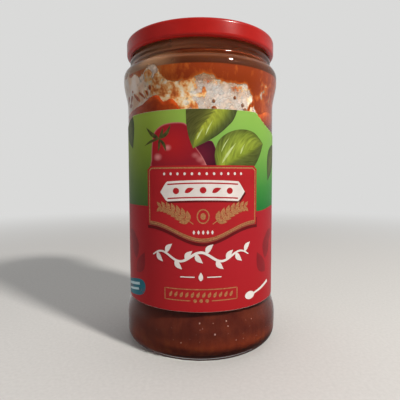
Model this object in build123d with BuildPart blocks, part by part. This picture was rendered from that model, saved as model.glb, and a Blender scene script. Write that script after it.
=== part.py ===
from build123d import *
import math
import os

# A glass jar of tomato sauce, shut with a pressed twist-off lid and wrapped in a paper label.
# Millimetres. +Z is up, the origin is the centre of the foot, and the label faces -Y.
os.makedirs("parts", exist_ok=True)

# Overall sizes
jar_height = 142.0          # table to the top of the lid
panel_radius = 35.05        # the straight glass that the label is glued to
band_step = 1.75            # how far the two guard bands stand proud of that panel
wall = 2.1                  # side wall of the glass

# Foot and lower band, one above the other from the table
push_up = 2.0               # hollow under the base
foot_inner_radius = 27.8    # the jar stands on a ring from here out to the heel
push_up_slope = 3.0
heel_inset = 0.4            # the heel is this much slimmer than the band above it
heel_rounding = 6.3
floor_edge = 3.0            # inside floor where it meets the wall
floor_crown = 2.6           # the floor rises by this to the middle
inner_heel_rounding = 4.5
heel_height = 9.7           # table to the band
lower_band_height = 5.3
lower_taper = 5.6           # the band narrows to the panel over this height
lower_band_rounding = 15.0
panel_foot_rounding = 10.0

# Neck, shoulder and upper band, one below the other from the rim of the glass
finish_depth = 10.4         # rim of the glass down to the foot of the bead
neck_length = 1.2
shoulder_slope = 0.816      # the shoulder rises by this for each millimetre that it narrows
upper_band_height = 6.0
upper_taper = 8.0           # the band narrows to the panel over this height
upper_band_rounding = 20.0
shoulder_rounding = 5.1
inner_shoulder_rounding = 3.5
neck_rounding = 0.8
inner_neck_rounding = 2.5

# Mouth of the glass and the bead below it
mouth_radius = 29.3
finish_wall = 2.9
rim_rounding = 1.2
neck_step = 0.8             # the neck is this much wider than the finish under the lid
bead_step = 0.7
bead_height = 2.2
bead_slope = 0.6
bead_rounding = 0.25

# Pressed steel lid
lid_sheet = 0.3
lid_height = 7.4
lid_rounding = 1.5
hem_radius = 1.45           # the edge is rolled in to this radius
hem_clearance = 0.1         # free space between the rolled edge and the finish
plug_clearance = 0.6        # free space between the lid's sunk panel and the mouth
lid_panel_drop = 1.3
lid_panel_slope = 1.3
lid_panel_rounding = 0.8
button_radius = 11.0
button_drop = 0.35
button_slope = 1.5

# Paper label, a strip with a raised middle
label_thickness = 0.15
glue_line = 0.05
label_foot_margin = 1.95    # above the foot of the panel
label_head_margin = 7.0     # below the head of the panel
label_step = 11.6           # the raised middle stands this far above the sides
label_cut_slope = 0.36      # fall of the two shoulders of the cut, per millimetre towards the back
label_corner_right = 43.5   # where the raised middle ends, degrees round from the front
label_corner_left = 57.0
label_seam = 5.0            # bare glass between the two ends of the strip

# Sauce
headspace = 36.9            # rim of the glass down to the level of the sauce
# Mounds of thick sauce at the wall: degrees round from the front, rise, radius of the crown
mounds = [(-48.0, 3.6, 26.0), (84.0, 2.2, 30.0)]
mound_wall_distance = 8.0   # from the inside wall to the middle of a mound

# Sizes that follow from those above
glass_height = jar_height - lid_sheet
band_radius = panel_radius + band_step
finish_radius = mouth_radius + finish_wall
neck_radius = finish_radius + neck_step
lid_radius = finish_radius + hem_clearance + 2 * hem_radius
lower_band_top = heel_height + lower_band_height
panel_foot = lower_band_top + lower_taper
bead_foot = glass_height - finish_depth
neck_foot = bead_foot - neck_length
shoulder = neck_foot - (band_radius - neck_radius) * shoulder_slope
upper_band_foot = shoulder - upper_band_height
panel_head = upper_band_foot - upper_taper
inner_panel_radius = panel_radius - wall
inner_band_radius = band_radius - wall
shoulder_turn = math.atan2(1.0, shoulder_slope)
inner_shoulder = shoulder - wall * math.tan(shoulder_turn / 2)
inner_neck_foot = inner_shoulder + (inner_band_radius - mouth_radius) * shoulder_slope
label_foot = panel_foot + label_foot_margin
label_head = panel_head - label_head_margin
sauce_level = glass_height - headspace


def turned_section(corners):
    """Half section to be turned about Z: a closed outline of (radius, height, rounding) corners."""
    with BuildSketch(Plane.XZ) as section:
        with BuildLine():
            Polyline(*[(radius, height) for radius, height, _ in corners], close=True)
        make_face()
        for radius, height, rounding in corners:
            if rounding:
                corner = section.vertices().sort_by_distance(Vector(radius, height))[0]
                fillet(corner, rounding)
    return section.sketch


def cavity_corners(top):
    """Inside of the glass from the floor up the wall to the mouth, closed at the height given."""
    return [
        (0, floor_edge + floor_crown, 0),
        (inner_band_radius, floor_edge, inner_heel_rounding),
        (inner_band_radius, lower_band_top, lower_band_rounding),
        (inner_panel_radius, panel_foot, panel_foot_rounding),
        (inner_panel_radius, panel_head, upper_band_rounding),
        (inner_band_radius, upper_band_foot, upper_band_rounding),
        (inner_band_radius, inner_shoulder, inner_shoulder_rounding),
        (mouth_radius, inner_neck_foot, inner_neck_rounding),
        (mouth_radius, top, 0),
        (0, top, 0),
    ]


# Glass: the outside is turned first, the cavity is turned out of it and the rim is rounded.
with BuildPart() as glass_jar:
    revolve(turned_section([
        (0, push_up, 0),
        (foot_inner_radius - push_up_slope, push_up, push_up_slope),
        (foot_inner_radius, 0, 0),
        (band_radius - heel_inset, 0, heel_rounding),
        (band_radius, heel_height, lower_band_rounding),
        (band_radius, lower_band_top, lower_band_rounding),
        (panel_radius, panel_foot, panel_foot_rounding),
        (panel_radius, panel_head, upper_band_rounding),
        (band_radius, upper_band_foot, upper_band_rounding),
        (band_radius, shoulder, shoulder_rounding),
        (neck_radius, neck_foot, neck_rounding),
        (neck_radius, bead_foot, bead_rounding),
        (neck_radius + bead_step, bead_foot + bead_slope, bead_rounding),
        (neck_radius + bead_step, bead_foot + bead_height - bead_slope, bead_rounding),
        (finish_radius, bead_foot + bead_height, bead_rounding),
        (finish_radius, glass_height, 0),
        (0, glass_height, 0),
    ]), axis=Axis.Z)
    revolve(turned_section(cavity_corners(glass_height)), axis=Axis.Z, mode=Mode.SUBTRACT)
    rim_edges = glass_jar.edges().filter_by(GeomType.CIRCLE).group_by(Axis.Z)[-1]
    fillet(rim_edges, rim_rounding)
glass_jar.part.label = "glass_jar"
export_step(glass_jar.part, "parts/glass_jar.step")

# Lid: one sheet, with a sunk panel and button, a raised ring that sits on the rim of the glass,
# and a skirt that ends in a rolled hem.
lid_panel = jar_height - lid_panel_drop
lid_ring_radius = mouth_radius - plug_clearance
lid_panel_radius = lid_ring_radius - lid_panel_slope
hem_height = jar_height - lid_height + hem_radius
with BuildPart() as lid:
    revolve(turned_section([
        (0, lid_panel - button_drop, 0),
        (button_radius, lid_panel - button_drop, lid_panel_rounding),
        (button_radius + button_slope, lid_panel, lid_panel_rounding),
        (lid_panel_radius, lid_panel, lid_panel_rounding),
        (lid_ring_radius, jar_height, lid_panel_rounding),
        (lid_radius, jar_height, lid_rounding),
        (lid_radius, hem_height, 0),
        (lid_radius - lid_sheet, hem_height, 0),
        (lid_radius - lid_sheet, jar_height - lid_sheet, lid_rounding - lid_sheet),
        (lid_ring_radius + lid_sheet, jar_height - lid_sheet, lid_panel_rounding - lid_sheet),
        (lid_panel_radius + lid_sheet, lid_panel - lid_sheet, lid_panel_rounding),
        (button_radius + button_slope, lid_panel - lid_sheet, lid_panel_rounding),
        (button_radius, lid_panel - button_drop - lid_sheet, lid_panel_rounding),
        (0, lid_panel - button_drop - lid_sheet, 0),
    ]), axis=Axis.Z)
    with BuildSketch(Plane.XZ) as hem:
        with Locations((lid_radius - hem_radius, hem_height)):
            Circle(hem_radius)
    revolve(axis=Axis.Z)
lid.part.label = "lid"
export_step(lid.part, "parts/lid.step")

# Label: a thin sleeve on the panel, its top cut down beside the raised middle and its two ends
# apart at the back.
label_inner_radius = panel_radius + glue_line
label_radius = label_inner_radius + label_thickness
label_length = label_head - label_foot
with BuildPart() as label:
    with BuildSketch(Plane.XY.offset(label_foot)):
        Circle(label_radius)
        Circle(label_inner_radius, mode=Mode.SUBTRACT)
    extrude(amount=label_length)
    for side, corner_angle in ((1, label_corner_right), (-1, label_corner_left)):
        corner_y = -label_radius * math.cos(math.radians(corner_angle))
        with BuildSketch(Plane.YZ):
            with BuildLine():
                Polyline(
                    (corner_y, label_head),
                    (corner_y + label_step / label_cut_slope, label_head - label_step),
                    (band_radius + label_step / label_cut_slope, label_head - label_step),
                    (band_radius + label_step / label_cut_slope, label_head + label_step),
                    (corner_y, label_head + label_step),
                    close=True,
                )
            make_face()
        extrude(amount=side * band_radius, mode=Mode.SUBTRACT)
    with BuildSketch(Plane.XY.offset(label_foot)):
        with Locations((0, label_radius)):
            Rectangle(label_seam, label_radius)
    extrude(amount=label_length, mode=Mode.SUBTRACT)
label.part.label = "label"
export_step(label.part, "parts/label.step")

# Sauce: it fills the glass to its level, and two mounds cling to the wall.
with BuildPart() as sauce:
    Cylinder(band_radius, sauce_level, align=(Align.CENTER, Align.CENTER, Align.MIN))
    for angle, rise, crown in mounds:
        reach = inner_panel_radius - mound_wall_distance
        mound_x = reach * math.sin(math.radians(angle))
        mound_y = -reach * math.cos(math.radians(angle))
        with Locations((mound_x, mound_y, sauce_level + rise - crown)):
            Sphere(crown)
    revolve(turned_section(cavity_corners(glass_height)), axis=Axis.Z, mode=Mode.INTERSECT)
sauce.part.label = "sauce"
export_step(sauce.part, "parts/sauce.step")

for piece in (glass_jar, lid, label, sauce):
    print(piece.part.label, "volume", round(piece.part.volume / 1000, 2), "cm3")
print("lid radius", round(lid_radius, 2), "label", round(label_foot, 2), "to", round(label_head, 2))
print("sauce level", round(sauce_level, 2))
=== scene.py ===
"""A shut glass jar of tomato sauce: the looks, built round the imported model.

The glass and the lid are the frame's own pieces with new finishes. The sauce is replaced by a piece
that wets the glass, and the label by a paper strip with a crisper cut. Smears, drops and the print of
the label are added.
Lengths are in millimetres until a mesh is made, angles are degrees round from the front (-Y), positive
to the right, and the label's print is laid out unrolled: u along the paper, z up.
"""
import math
import random

import bpy
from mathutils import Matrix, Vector, noise
from mathutils.bvhtree import BVHTree


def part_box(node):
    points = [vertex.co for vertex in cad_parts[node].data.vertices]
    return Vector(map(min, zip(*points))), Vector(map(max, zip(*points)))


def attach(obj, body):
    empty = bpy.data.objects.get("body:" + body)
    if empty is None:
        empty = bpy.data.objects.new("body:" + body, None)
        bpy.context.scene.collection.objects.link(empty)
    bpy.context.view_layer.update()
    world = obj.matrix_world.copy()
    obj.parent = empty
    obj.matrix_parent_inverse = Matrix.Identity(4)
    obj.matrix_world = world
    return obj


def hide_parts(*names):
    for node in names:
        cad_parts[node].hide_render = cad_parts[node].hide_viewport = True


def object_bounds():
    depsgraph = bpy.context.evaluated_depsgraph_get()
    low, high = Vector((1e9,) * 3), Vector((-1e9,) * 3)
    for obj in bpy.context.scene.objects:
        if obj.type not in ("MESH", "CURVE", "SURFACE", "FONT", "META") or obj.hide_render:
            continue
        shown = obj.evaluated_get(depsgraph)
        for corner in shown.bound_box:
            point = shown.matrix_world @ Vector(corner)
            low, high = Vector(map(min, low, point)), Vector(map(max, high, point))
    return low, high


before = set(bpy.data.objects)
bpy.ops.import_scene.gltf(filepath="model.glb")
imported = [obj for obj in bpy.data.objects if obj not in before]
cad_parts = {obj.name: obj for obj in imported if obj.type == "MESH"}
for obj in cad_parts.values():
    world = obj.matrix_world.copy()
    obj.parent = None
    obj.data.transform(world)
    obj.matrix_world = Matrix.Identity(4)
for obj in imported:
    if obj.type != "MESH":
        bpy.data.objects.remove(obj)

CAD_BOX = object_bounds()
MM = 0.001


# ---------------------------------------------------------------- small helpers

def colour(hex_code):
    """Linear colour of an sRGB hex value."""
    channels = [int(hex_code[i:i + 2], 16) / 255 for i in (1, 3, 5)]
    linear = [c / 12.92 if c <= 0.04045 else ((c + 0.055) / 1.055) ** 2.4 for c in channels]
    return linear + [1.0]


def per_mm(size):
    """Texture scale at which a pattern repeats about every so many millimetres."""
    return 1.0 / (size * MM)


def new_material(name):
    """An empty node material and its tree."""
    material = bpy.data.materials.new(name)
    material.use_nodes = True
    material.node_tree.nodes.clear()
    return material, material.node_tree


def add_node(tree, kind, settings=None, links=None):
    """Adds a node. Settings name its sockets or its properties, and links join outputs to its sockets."""
    node = tree.nodes.new(kind)
    for key, value in (settings or {}).items():
        if key == "stops":
            ramp = node.color_ramp
            while len(ramp.elements) < len(value):
                ramp.elements.new(0.5)
            for element, (position, stop_colour) in zip(ramp.elements, value):
                element.position = position
                element.color = stop_colour
        elif isinstance(key, int) or key in node.inputs:
            node.inputs[key].default_value = value
        else:
            setattr(node, key, value)
    for key, output in (links or {}).items():
        tree.links.new(output, node.inputs[key])
    return node


def smooth_step(value):
    """Eases from 0 to 1 as the value does, and stays level outside that."""
    value = min(1.0, max(0.0, value))
    return value * value * (3 - 2 * value)


def between(stations, place):
    """Smooth curve through (place, value) stations that are sorted by place."""
    if place <= stations[0][0]:
        return stations[0][1]
    for (start, low), (end, high) in zip(stations, stations[1:]):
        if place <= end:
            return low + (high - low) * smooth_step((place - start) / (end - start))
    return stations[-1][1]


def add_piece(name, points, faces, materials, numbers=None, vectors=None, face_slots=None,
              crisp=False):
    """A smooth-shaded mesh piece on the jar, from points in millimetres. Crisp keeps its corners sharp."""
    mesh = bpy.data.meshes.new(name)
    mesh.from_pydata([Vector(p) * MM for p in points], [], faces)
    mesh.polygons.foreach_set("use_smooth", [True] * len(mesh.polygons))
    for attribute_name, values in (numbers or {}).items():
        attribute = mesh.attributes.new(attribute_name, "FLOAT", "POINT")
        attribute.data.foreach_set("value", values)
    for attribute_name, values in (vectors or {}).items():
        attribute = mesh.attributes.new(attribute_name, "FLOAT_VECTOR", "POINT")
        attribute.data.foreach_set("vector", [c for value in values for c in value])
    for material in materials:
        mesh.materials.append(material)
    if face_slots:
        mesh.polygons.foreach_set("material_index", face_slots)
    mesh.update()
    if crisp:
        mesh.set_sharp_from_angle(angle=math.radians(35))
    piece = bpy.data.objects.new(name, mesh)
    bpy.context.scene.collection.objects.link(piece)
    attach(piece, "root")
    return piece


# ---------------------------------------------------------------- places taken from the frame

def surface_of(node_name):
    """Search tree of a node's mesh, for measuring it with straight probes."""
    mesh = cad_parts[node_name].data
    return BVHTree.FromPolygons([v.co for v in mesh.vertices], [p.vertices for p in mesh.polygons])


GLASS = surface_of("glass_jar")
PAPER = surface_of("label")
LABEL_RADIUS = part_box("label")[1].x / MM
LABEL_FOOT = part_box("label")[0].z / MM
LABEL_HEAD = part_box("label")[1].z / MM
JAR_HEIGHT = CAD_BOX[1].z / MM


def within_turn(angle):
    """The same angle between -180 and 180 degrees."""
    return (angle + 180) % 360 - 180


def around(angle):
    """Level direction away from the jar's axis."""
    turn = math.radians(angle)
    return Vector((math.sin(turn), -math.cos(turn), 0.0))


def inner_wall(angle, height):
    """Distance from the axis to the inside of the glass."""
    return GLASS.ray_cast(Vector((0, 0, height * MM)), around(angle))[3] / MM


def on_cylinder(angle, radius, height):
    """Point so many degrees round, so far from the axis and so high."""
    direction = around(angle)
    return (direction.x * radius, direction.y * radius, height)


def grain(angle, height, size, seed=0, tall=1.0):
    """Smooth random value, about -1 to 1, that changes over the given size on the inside of the glass."""
    spot = Vector(on_cylinder(angle, WALL_RADIUS, height / tall)) / size
    return noise.noise(spot + Vector((0.0, 0.0, 31.7 * seed)))


WALL_RADIUS = inner_wall(0, 120)    # the grain is measured out on a wall of this radius


# ---------------------------------------------------------------- materials: glass, steel and paper

def flint_glass():
    """Clear flint glass, blown in a mould: hard glints, and a slow ripple that bends what shows through."""
    material, tree = new_material("moulded_flint_glass")
    place = add_node(tree, "ShaderNodeTexCoord")
    ripple = add_node(tree, "ShaderNodeTexNoise", {"Scale": per_mm(16), "Detail": 1.5},
                      {"Vector": place.outputs["Object"]})
    bump = add_node(tree, "ShaderNodeBump", {"Strength": 0.35, "Distance": 0.0003},
                    {"Height": ripple.outputs["Fac"]})
    glass = add_node(tree, "ShaderNodeBsdfPrincipled",
                     {"Base Color": colour("#FCFEFD"), "Roughness": 0.0, "IOR": 1.52,
                      "Transmission Weight": 1.0},
                     {"Normal": bump.outputs["Normal"]})
    # Lamps reach the sauce through the wall without the noise of focused light.
    clear = add_node(tree, "ShaderNodeBsdfTransparent", {"Color": colour("#F6F8F7")})
    rays = add_node(tree, "ShaderNodeLightPath")
    mix = add_node(tree, "ShaderNodeMixShader", {},
                   {0: rays.outputs["Is Shadow Ray"], 1: glass.outputs[0], 2: clear.outputs[0]})
    add_node(tree, "ShaderNodeOutputMaterial", {}, {"Surface": mix.outputs[0]})
    return material


LID_HEM = 4.5               # the pale lacquer inside the lid ends this far below the lid's top


def lacquered_tinplate():
    """Tinplate, roller-coated red and stamped: an even gloss with a fine orange peel, pale lacquer inside."""
    material, tree = new_material("stamped_red_lacquered_tinplate")
    place = add_node(tree, "ShaderNodeTexCoord")
    shape = add_node(tree, "ShaderNodeNewGeometry")
    peel = add_node(tree, "ShaderNodeTexNoise", {"Scale": per_mm(1.1), "Detail": 2.0},
                    {"Vector": place.outputs["Object"]})
    cloud = add_node(tree, "ShaderNodeTexNoise", {"Scale": per_mm(11), "Detail": 3.0},
                     {"Vector": place.outputs["Object"]})
    red = add_node(tree, "ShaderNodeValToRGB",
                   {"stops": [(0.3, colour("#9E1814")), (0.7, colour("#AC1D18"))]},
                   {"Fac": cloud.outputs["Fac"]})
    facing = add_node(tree, "ShaderNodeSeparateXYZ", {}, {"Vector": shape.outputs["Normal"]})
    spot = add_node(tree, "ShaderNodeSeparateXYZ", {}, {"Vector": place.outputs["Object"]})
    down = add_node(tree, "ShaderNodeMath", {"operation": "LESS_THAN", 1: -0.3}, {0: facing.outputs["Z"]})
    above_hem = add_node(tree, "ShaderNodeMath",
                         {"operation": "GREATER_THAN", 1: (JAR_HEIGHT - LID_HEM) * MM},
                         {0: spot.outputs["Z"]})
    inside = add_node(tree, "ShaderNodeMath", {"operation": "MULTIPLY"},
                      {0: down.outputs[0], 1: above_hem.outputs[0]})
    shade = add_node(tree, "ShaderNodeMix", {"data_type": "RGBA", 7: colour("#D8C9A6")},
                     {0: inside.outputs[0], 6: red.outputs["Color"]})
    gloss = add_node(tree, "ShaderNodeMapRange", {"To Min": 0.2, "To Max": 0.3},
                     {"Value": cloud.outputs["Fac"]})
    bump = add_node(tree, "ShaderNodeBump", {"Strength": 0.12, "Distance": 0.00004},
                    {"Height": peel.outputs["Fac"]})
    lacquer = add_node(tree, "ShaderNodeBsdfPrincipled",
                       {"IOR": 1.45, "Specular IOR Level": 0.35, "Coat Weight": 0.12, "Coat Roughness": 0.06},
                       {"Base Color": shade.outputs[2], "Roughness": gloss.outputs[0],
                        "Normal": bump.outputs["Normal"]})
    add_node(tree, "ShaderNodeOutputMaterial", {}, {"Surface": lacquer.outputs[0]})
    return material


def paper_finish(tree, colour_output, roughness=0.42):
    """Calendered paper under ink: a satin sheen broken by the fibres, which are drawn coarse to show."""
    place = add_node(tree, "ShaderNodeTexCoord")
    fibres = add_node(tree, "ShaderNodeTexNoise", {"Scale": per_mm(0.7), "Detail": 3.0},
                      {"Vector": place.outputs["Object"]})
    sheen = add_node(tree, "ShaderNodeMapRange", {"To Min": roughness - 0.07, "To Max": roughness + 0.07},
                     {"Value": fibres.outputs["Fac"]})
    bump = add_node(tree, "ShaderNodeBump", {"Strength": 0.1, "Distance": 0.00005},
                    {"Height": fibres.outputs["Fac"]})
    surface = add_node(tree, "ShaderNodeBsdfPrincipled", {"IOR": 1.45, "Specular IOR Level": 0.15},
                       {"Base Color": colour_output, "Roughness": sheen.outputs[0],
                        "Normal": bump.outputs["Normal"]})
    add_node(tree, "ShaderNodeOutputMaterial", {}, {"Surface": surface.outputs[0]})


def coated_paper():
    """Bare coated label paper, which shows as a pale line at its cut edge."""
    material, tree = new_material("die_cut_coated_paper")
    place = add_node(tree, "ShaderNodeTexCoord")
    pulp = add_node(tree, "ShaderNodeTexNoise", {"Scale": per_mm(2.5), "Detail": 4.0},
                    {"Vector": place.outputs["Object"]})
    white = add_node(tree, "ShaderNodeValToRGB",
                     {"stops": [(0.3, colour("#D9CFC0")), (0.7, colour("#E6DFD3"))]},
                     {"Fac": pulp.outputs["Fac"]})
    paper_finish(tree, white.outputs["Color"], 0.5)
    return material


def flat_ink(name, dark, light, size=6.0):
    """Offset ink laid as a solid: nearly even, with the slow unevenness of the ink film."""
    material, tree = new_material(name)
    place = add_node(tree, "ShaderNodeAttribute", {"attribute_name": "unrolled"})
    film = add_node(tree, "ShaderNodeTexNoise", {"Scale": 1.0 / size, "Detail": 3.0},
                    {"Vector": place.outputs["Vector"]})
    tone = add_node(tree, "ShaderNodeValToRGB", {"stops": [(0.3, colour(dark)), (0.7, colour(light))]},
                    {"Fac": film.outputs["Fac"]})
    paper_finish(tree, tone.outputs["Color"])
    return material


def blended_ink(name, left_stops, right_stops, low, high):
    """Offset ink in a vertical blend between two heights, and from the left blend to the right one."""
    material, tree = new_material(name)
    place = add_node(tree, "ShaderNodeAttribute", {"attribute_name": "unrolled"})
    film = add_node(tree, "ShaderNodeTexNoise", {"Scale": 1.0 / 14, "Detail": 2.0},
                    {"Vector": place.outputs["Vector"]})
    axes = add_node(tree, "ShaderNodeSeparateXYZ", {}, {"Vector": place.outputs["Vector"]})
    rise = add_node(tree, "ShaderNodeMapRange", {"From Min": low, "From Max": high},
                    {"Value": axes.outputs["Y"]})
    drift = add_node(tree, "ShaderNodeMath", {"operation": "MULTIPLY_ADD", 1: 0.16},
                     {0: film.outputs["Fac"], 2: rise.outputs[0]})
    level = add_node(tree, "ShaderNodeMath", {"operation": "SUBTRACT", 1: 0.08}, {0: drift.outputs[0]})
    left = add_node(tree, "ShaderNodeValToRGB", {"stops": [(p, colour(c)) for p, c in left_stops]},
                    {"Fac": level.outputs[0]})
    right = add_node(tree, "ShaderNodeValToRGB", {"stops": [(p, colour(c)) for p, c in right_stops]},
                     {"Fac": level.outputs[0]})
    side = add_node(tree, "ShaderNodeMapRange",
                    {"From Min": -26.0, "From Max": 10.0, "interpolation_type": "SMOOTHSTEP"},
                    {"Value": axes.outputs["X"]})
    blend = add_node(tree, "ShaderNodeMix", {"data_type": "RGBA"},
                     {0: side.outputs[0], 6: left.outputs["Color"], 7: right.outputs["Color"]})
    paper_finish(tree, blend.outputs[2])
    return material


def tomato_ink(name, shade, body, glow, rim, spots):
    """Halftone tomato: darker outwards, with soft pink lights where the skin shines and a thin pale rim."""
    material, tree = new_material(name)
    place = add_node(tree, "ShaderNodeAttribute", {"attribute_name": "local"})
    off_light = add_node(tree, "ShaderNodeVectorMath", {"operation": "DISTANCE", 1: (-0.25, 0.2, 0.0)},
                         {0: place.outputs["Vector"]})
    skin = add_node(tree, "ShaderNodeValToRGB",
                    {"stops": [(0.2, colour(body)), (1.0, colour(shade))]},
                    {"Fac": off_light.outputs["Value"]})
    outward = add_node(tree, "ShaderNodeAttribute", {"attribute_name": "along"})
    rim_light = add_node(tree, "ShaderNodeMapRange",
                         {"From Min": 0.93, "From Max": 1.0, "To Max": rim,
                          "interpolation_type": "SMOOTHSTEP"},
                         {"Value": outward.outputs["Fac"]})
    tint = add_node(tree, "ShaderNodeMix", {"data_type": "RGBA", 7: colour(glow)},
                    {0: rim_light.outputs[0], 6: skin.outputs["Color"]})
    for x, y, size, strength in spots:
        gap = add_node(tree, "ShaderNodeVectorMath", {"operation": "DISTANCE", 1: (x, y, 0.0)},
                       {0: place.outputs["Vector"]})
        light = add_node(tree, "ShaderNodeMapRange",
                         {"From Min": size, "From Max": 0.0, "To Max": strength,
                          "interpolation_type": "SMOOTHSTEP"},
                         {"Value": gap.outputs["Value"]})
        tint = add_node(tree, "ShaderNodeMix", {"data_type": "RGBA", 7: colour(glow)},
                        {0: light.outputs[0], 6: tint.outputs[2]})
    paper_finish(tree, tint.outputs[2])
    return material


def leaf_ink(name, stops, tip, veins=7):
    """Halftone basil leaf: its tones run across it by stops, with soft side veins and a darker tip."""
    material, tree = new_material(name)
    along = add_node(tree, "ShaderNodeAttribute", {"attribute_name": "along"})
    across = add_node(tree, "ShaderNodeAttribute", {"attribute_name": "across"})
    side = add_node(tree, "ShaderNodeMath", {"operation": "ABSOLUTE"}, {0: across.outputs["Fac"]})
    # The side veins leave the midrib forwards. The print shows them as soft streaks of uneven strength.
    sweep = add_node(tree, "ShaderNodeMath", {"operation": "MULTIPLY_ADD", 1: -0.45},
                     {0: side.outputs[0], 2: along.outputs["Fac"]})
    lanes = add_node(tree, "ShaderNodeMath", {"operation": "MULTIPLY", 1: float(veins)},
                     {0: sweep.outputs[0]})
    streak_place = add_node(tree, "ShaderNodeCombineXYZ", {}, {"X": lanes.outputs[0],
                                                               "Y": across.outputs["Fac"]})
    streaks = add_node(tree, "ShaderNodeTexNoise", {"Scale": 2.4, "Detail": 4.0},
                       {"Vector": streak_place.outputs[0]})
    spread = add_node(tree, "ShaderNodeMapRange", {"From Min": -1.0, "From Max": 1.0, "To Min": -0.07,
                                                   "To Max": 0.93},
                      {"Value": across.outputs["Fac"]})
    lane = add_node(tree, "ShaderNodeMath", {"operation": "MULTIPLY_ADD", 1: 0.14},
                    {0: streaks.outputs["Fac"], 2: spread.outputs[0]})
    green = add_node(tree, "ShaderNodeValToRGB", {"stops": [(p, colour(c)) for p, c in stops]},
                     {"Fac": lane.outputs[0]})
    bright = add_node(tree, "ShaderNodeMapRange", {"From Min": 0.35, "From Max": 0.65, "To Min": 0.72,
                                                   "To Max": 1.28},
                      {"Value": streaks.outputs["Fac"]})
    streaked = add_node(tree, "ShaderNodeVectorMath", {"operation": "SCALE"},
                        {0: green.outputs["Color"], "Scale": bright.outputs[0]})
    darker = add_node(tree, "ShaderNodeMapRange",
                      {"From Min": 0.62, "From Max": 1.0, "To Max": 0.6, "interpolation_type": "SMOOTHSTEP"},
                      {"Value": along.outputs["Fac"]})
    shade = add_node(tree, "ShaderNodeMix", {"data_type": "RGBA", 7: colour(tip)},
                     {0: darker.outputs[0], 6: streaked.outputs[0]})
    paper_finish(tree, shade.outputs[2])
    return material


def powder_ink(name, dark, light):
    """Metal-powder ink: a dull gold or copper with fine sparkle and a slight metal sheen."""
    material, tree = new_material(name)
    place = add_node(tree, "ShaderNodeAttribute", {"attribute_name": "unrolled"})
    powder = add_node(tree, "ShaderNodeTexNoise", {"Scale": 1.6, "Detail": 4.0},
                      {"Vector": place.outputs["Vector"]})
    gold = add_node(tree, "ShaderNodeValToRGB",
                    {"stops": [(0.3, colour(dark)), (0.7, colour(light))]},
                    {"Fac": powder.outputs["Fac"]})
    surface = add_node(tree, "ShaderNodeBsdfPrincipled", {"Metallic": 0.25, "Roughness": 0.38, "IOR": 1.5},
                       {"Base Color": gold.outputs["Color"]})
    add_node(tree, "ShaderNodeOutputMaterial", {}, {"Surface": surface.outputs[0]})
    return material


# ---------------------------------------------------------------- materials: the sauce

def sauce_at_glass():
    """Cooked tomato sauce pressed flat on glass: no gloss of its own, faint settling streaks, soft pulp,
    painted lighter to the left.
    """
    material, tree = new_material("settled_tomato_sauce_on_glass")
    place = add_node(tree, "ShaderNodeTexCoord")
    stretched = add_node(tree, "ShaderNodeMapping", {"Scale": (1.0, 1.0, 0.09)},
                         {"Vector": place.outputs["Object"]})
    streaks = add_node(tree, "ShaderNodeTexNoise", {"Scale": per_mm(1.8), "Detail": 3.0},
                       {"Vector": stretched.outputs[0]})
    pulp = add_node(tree, "ShaderNodeTexNoise", {"Scale": per_mm(7), "Detail": 5.0, "Roughness": 0.6},
                    {"Vector": place.outputs["Object"]})
    mixed = add_node(tree, "ShaderNodeMix", {"data_type": "FLOAT", 0: 0.72},
                     {2: streaks.outputs["Fac"], 3: pulp.outputs["Fac"]})
    deep = add_node(tree, "ShaderNodeValToRGB",
                    {"stops": [(0.34, colour("#4C1C13")), (0.52, colour("#5A2418")),
                               (0.68, colour("#6A2E1D"))]},
                    {"Fac": mixed.outputs[0]})
    fresh = add_node(tree, "ShaderNodeValToRGB",
                     {"stops": [(0.34, colour("#9E3612")), (0.52, colour("#C04C16")),
                                (0.68, colour("#DA7026"))]},
                     {"Fac": mixed.outputs[0]})
    thin = add_node(tree, "ShaderNodeAttribute", {"attribute_name": "thin"})
    spot = add_node(tree, "ShaderNodeSeparateXYZ", {}, {"Vector": place.outputs["Object"]})
    # Painted light: the settled tone is painted lighter towards the left, for light bounced up from the
    # floor.
    painted_left_light = add_node(tree, "ShaderNodeMapRange",
                        {"From Min": -8.0 * MM, "From Max": -29.0 * MM, "To Max": 0.7,
                         "interpolation_type": "SMOOTHSTEP"},
                        {"Value": spot.outputs["X"]})
    settled = add_node(tree, "ShaderNodeMix", {"data_type": "RGBA", 7: colour("#8A402E")},
                       {0: painted_left_light.outputs[0], 6: deep.outputs["Color"]})
    shade = add_node(tree, "ShaderNodeMix", {"data_type": "RGBA"},
                     {0: thin.outputs["Fac"], 6: settled.outputs[2], 7: fresh.outputs["Color"]})
    surface = add_node(tree, "ShaderNodeBsdfPrincipled",
                       {"Roughness": 0.6, "IOR": 1.45, "Specular IOR Level": 0.0},
                       {"Base Color": shade.outputs[2]})
    add_node(tree, "ShaderNodeOutputMaterial", {}, {"Surface": surface.outputs[0]})
    return material


def sauce_surface():
    """The free top of the sauce: wet, with oil in the hollows and pulp standing up in soft lumps."""
    material, tree = new_material("wet_tomato_sauce")
    place = add_node(tree, "ShaderNodeTexCoord")
    pulp = add_node(tree, "ShaderNodeTexNoise", {"Scale": per_mm(4.5), "Detail": 6.0, "Roughness": 0.62},
                    {"Vector": place.outputs["Object"]})
    red = add_node(tree, "ShaderNodeValToRGB",
                   {"stops": [(0.32, colour("#6A2218")), (0.5, colour("#8A3120")), (0.7, colour("#B0542B"))]},
                   {"Fac": pulp.outputs["Fac"]})
    bump = add_node(tree, "ShaderNodeBump", {"Strength": 0.5, "Distance": 0.0006},
                    {"Height": pulp.outputs["Fac"]})
    surface = add_node(tree, "ShaderNodeBsdfPrincipled", {"Roughness": 0.22, "IOR": 1.4},
                       {"Base Color": red.outputs["Color"], "Normal": bump.outputs["Normal"]})
    add_node(tree, "ShaderNodeOutputMaterial", {}, {"Surface": surface.outputs[0]})
    return material
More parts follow.
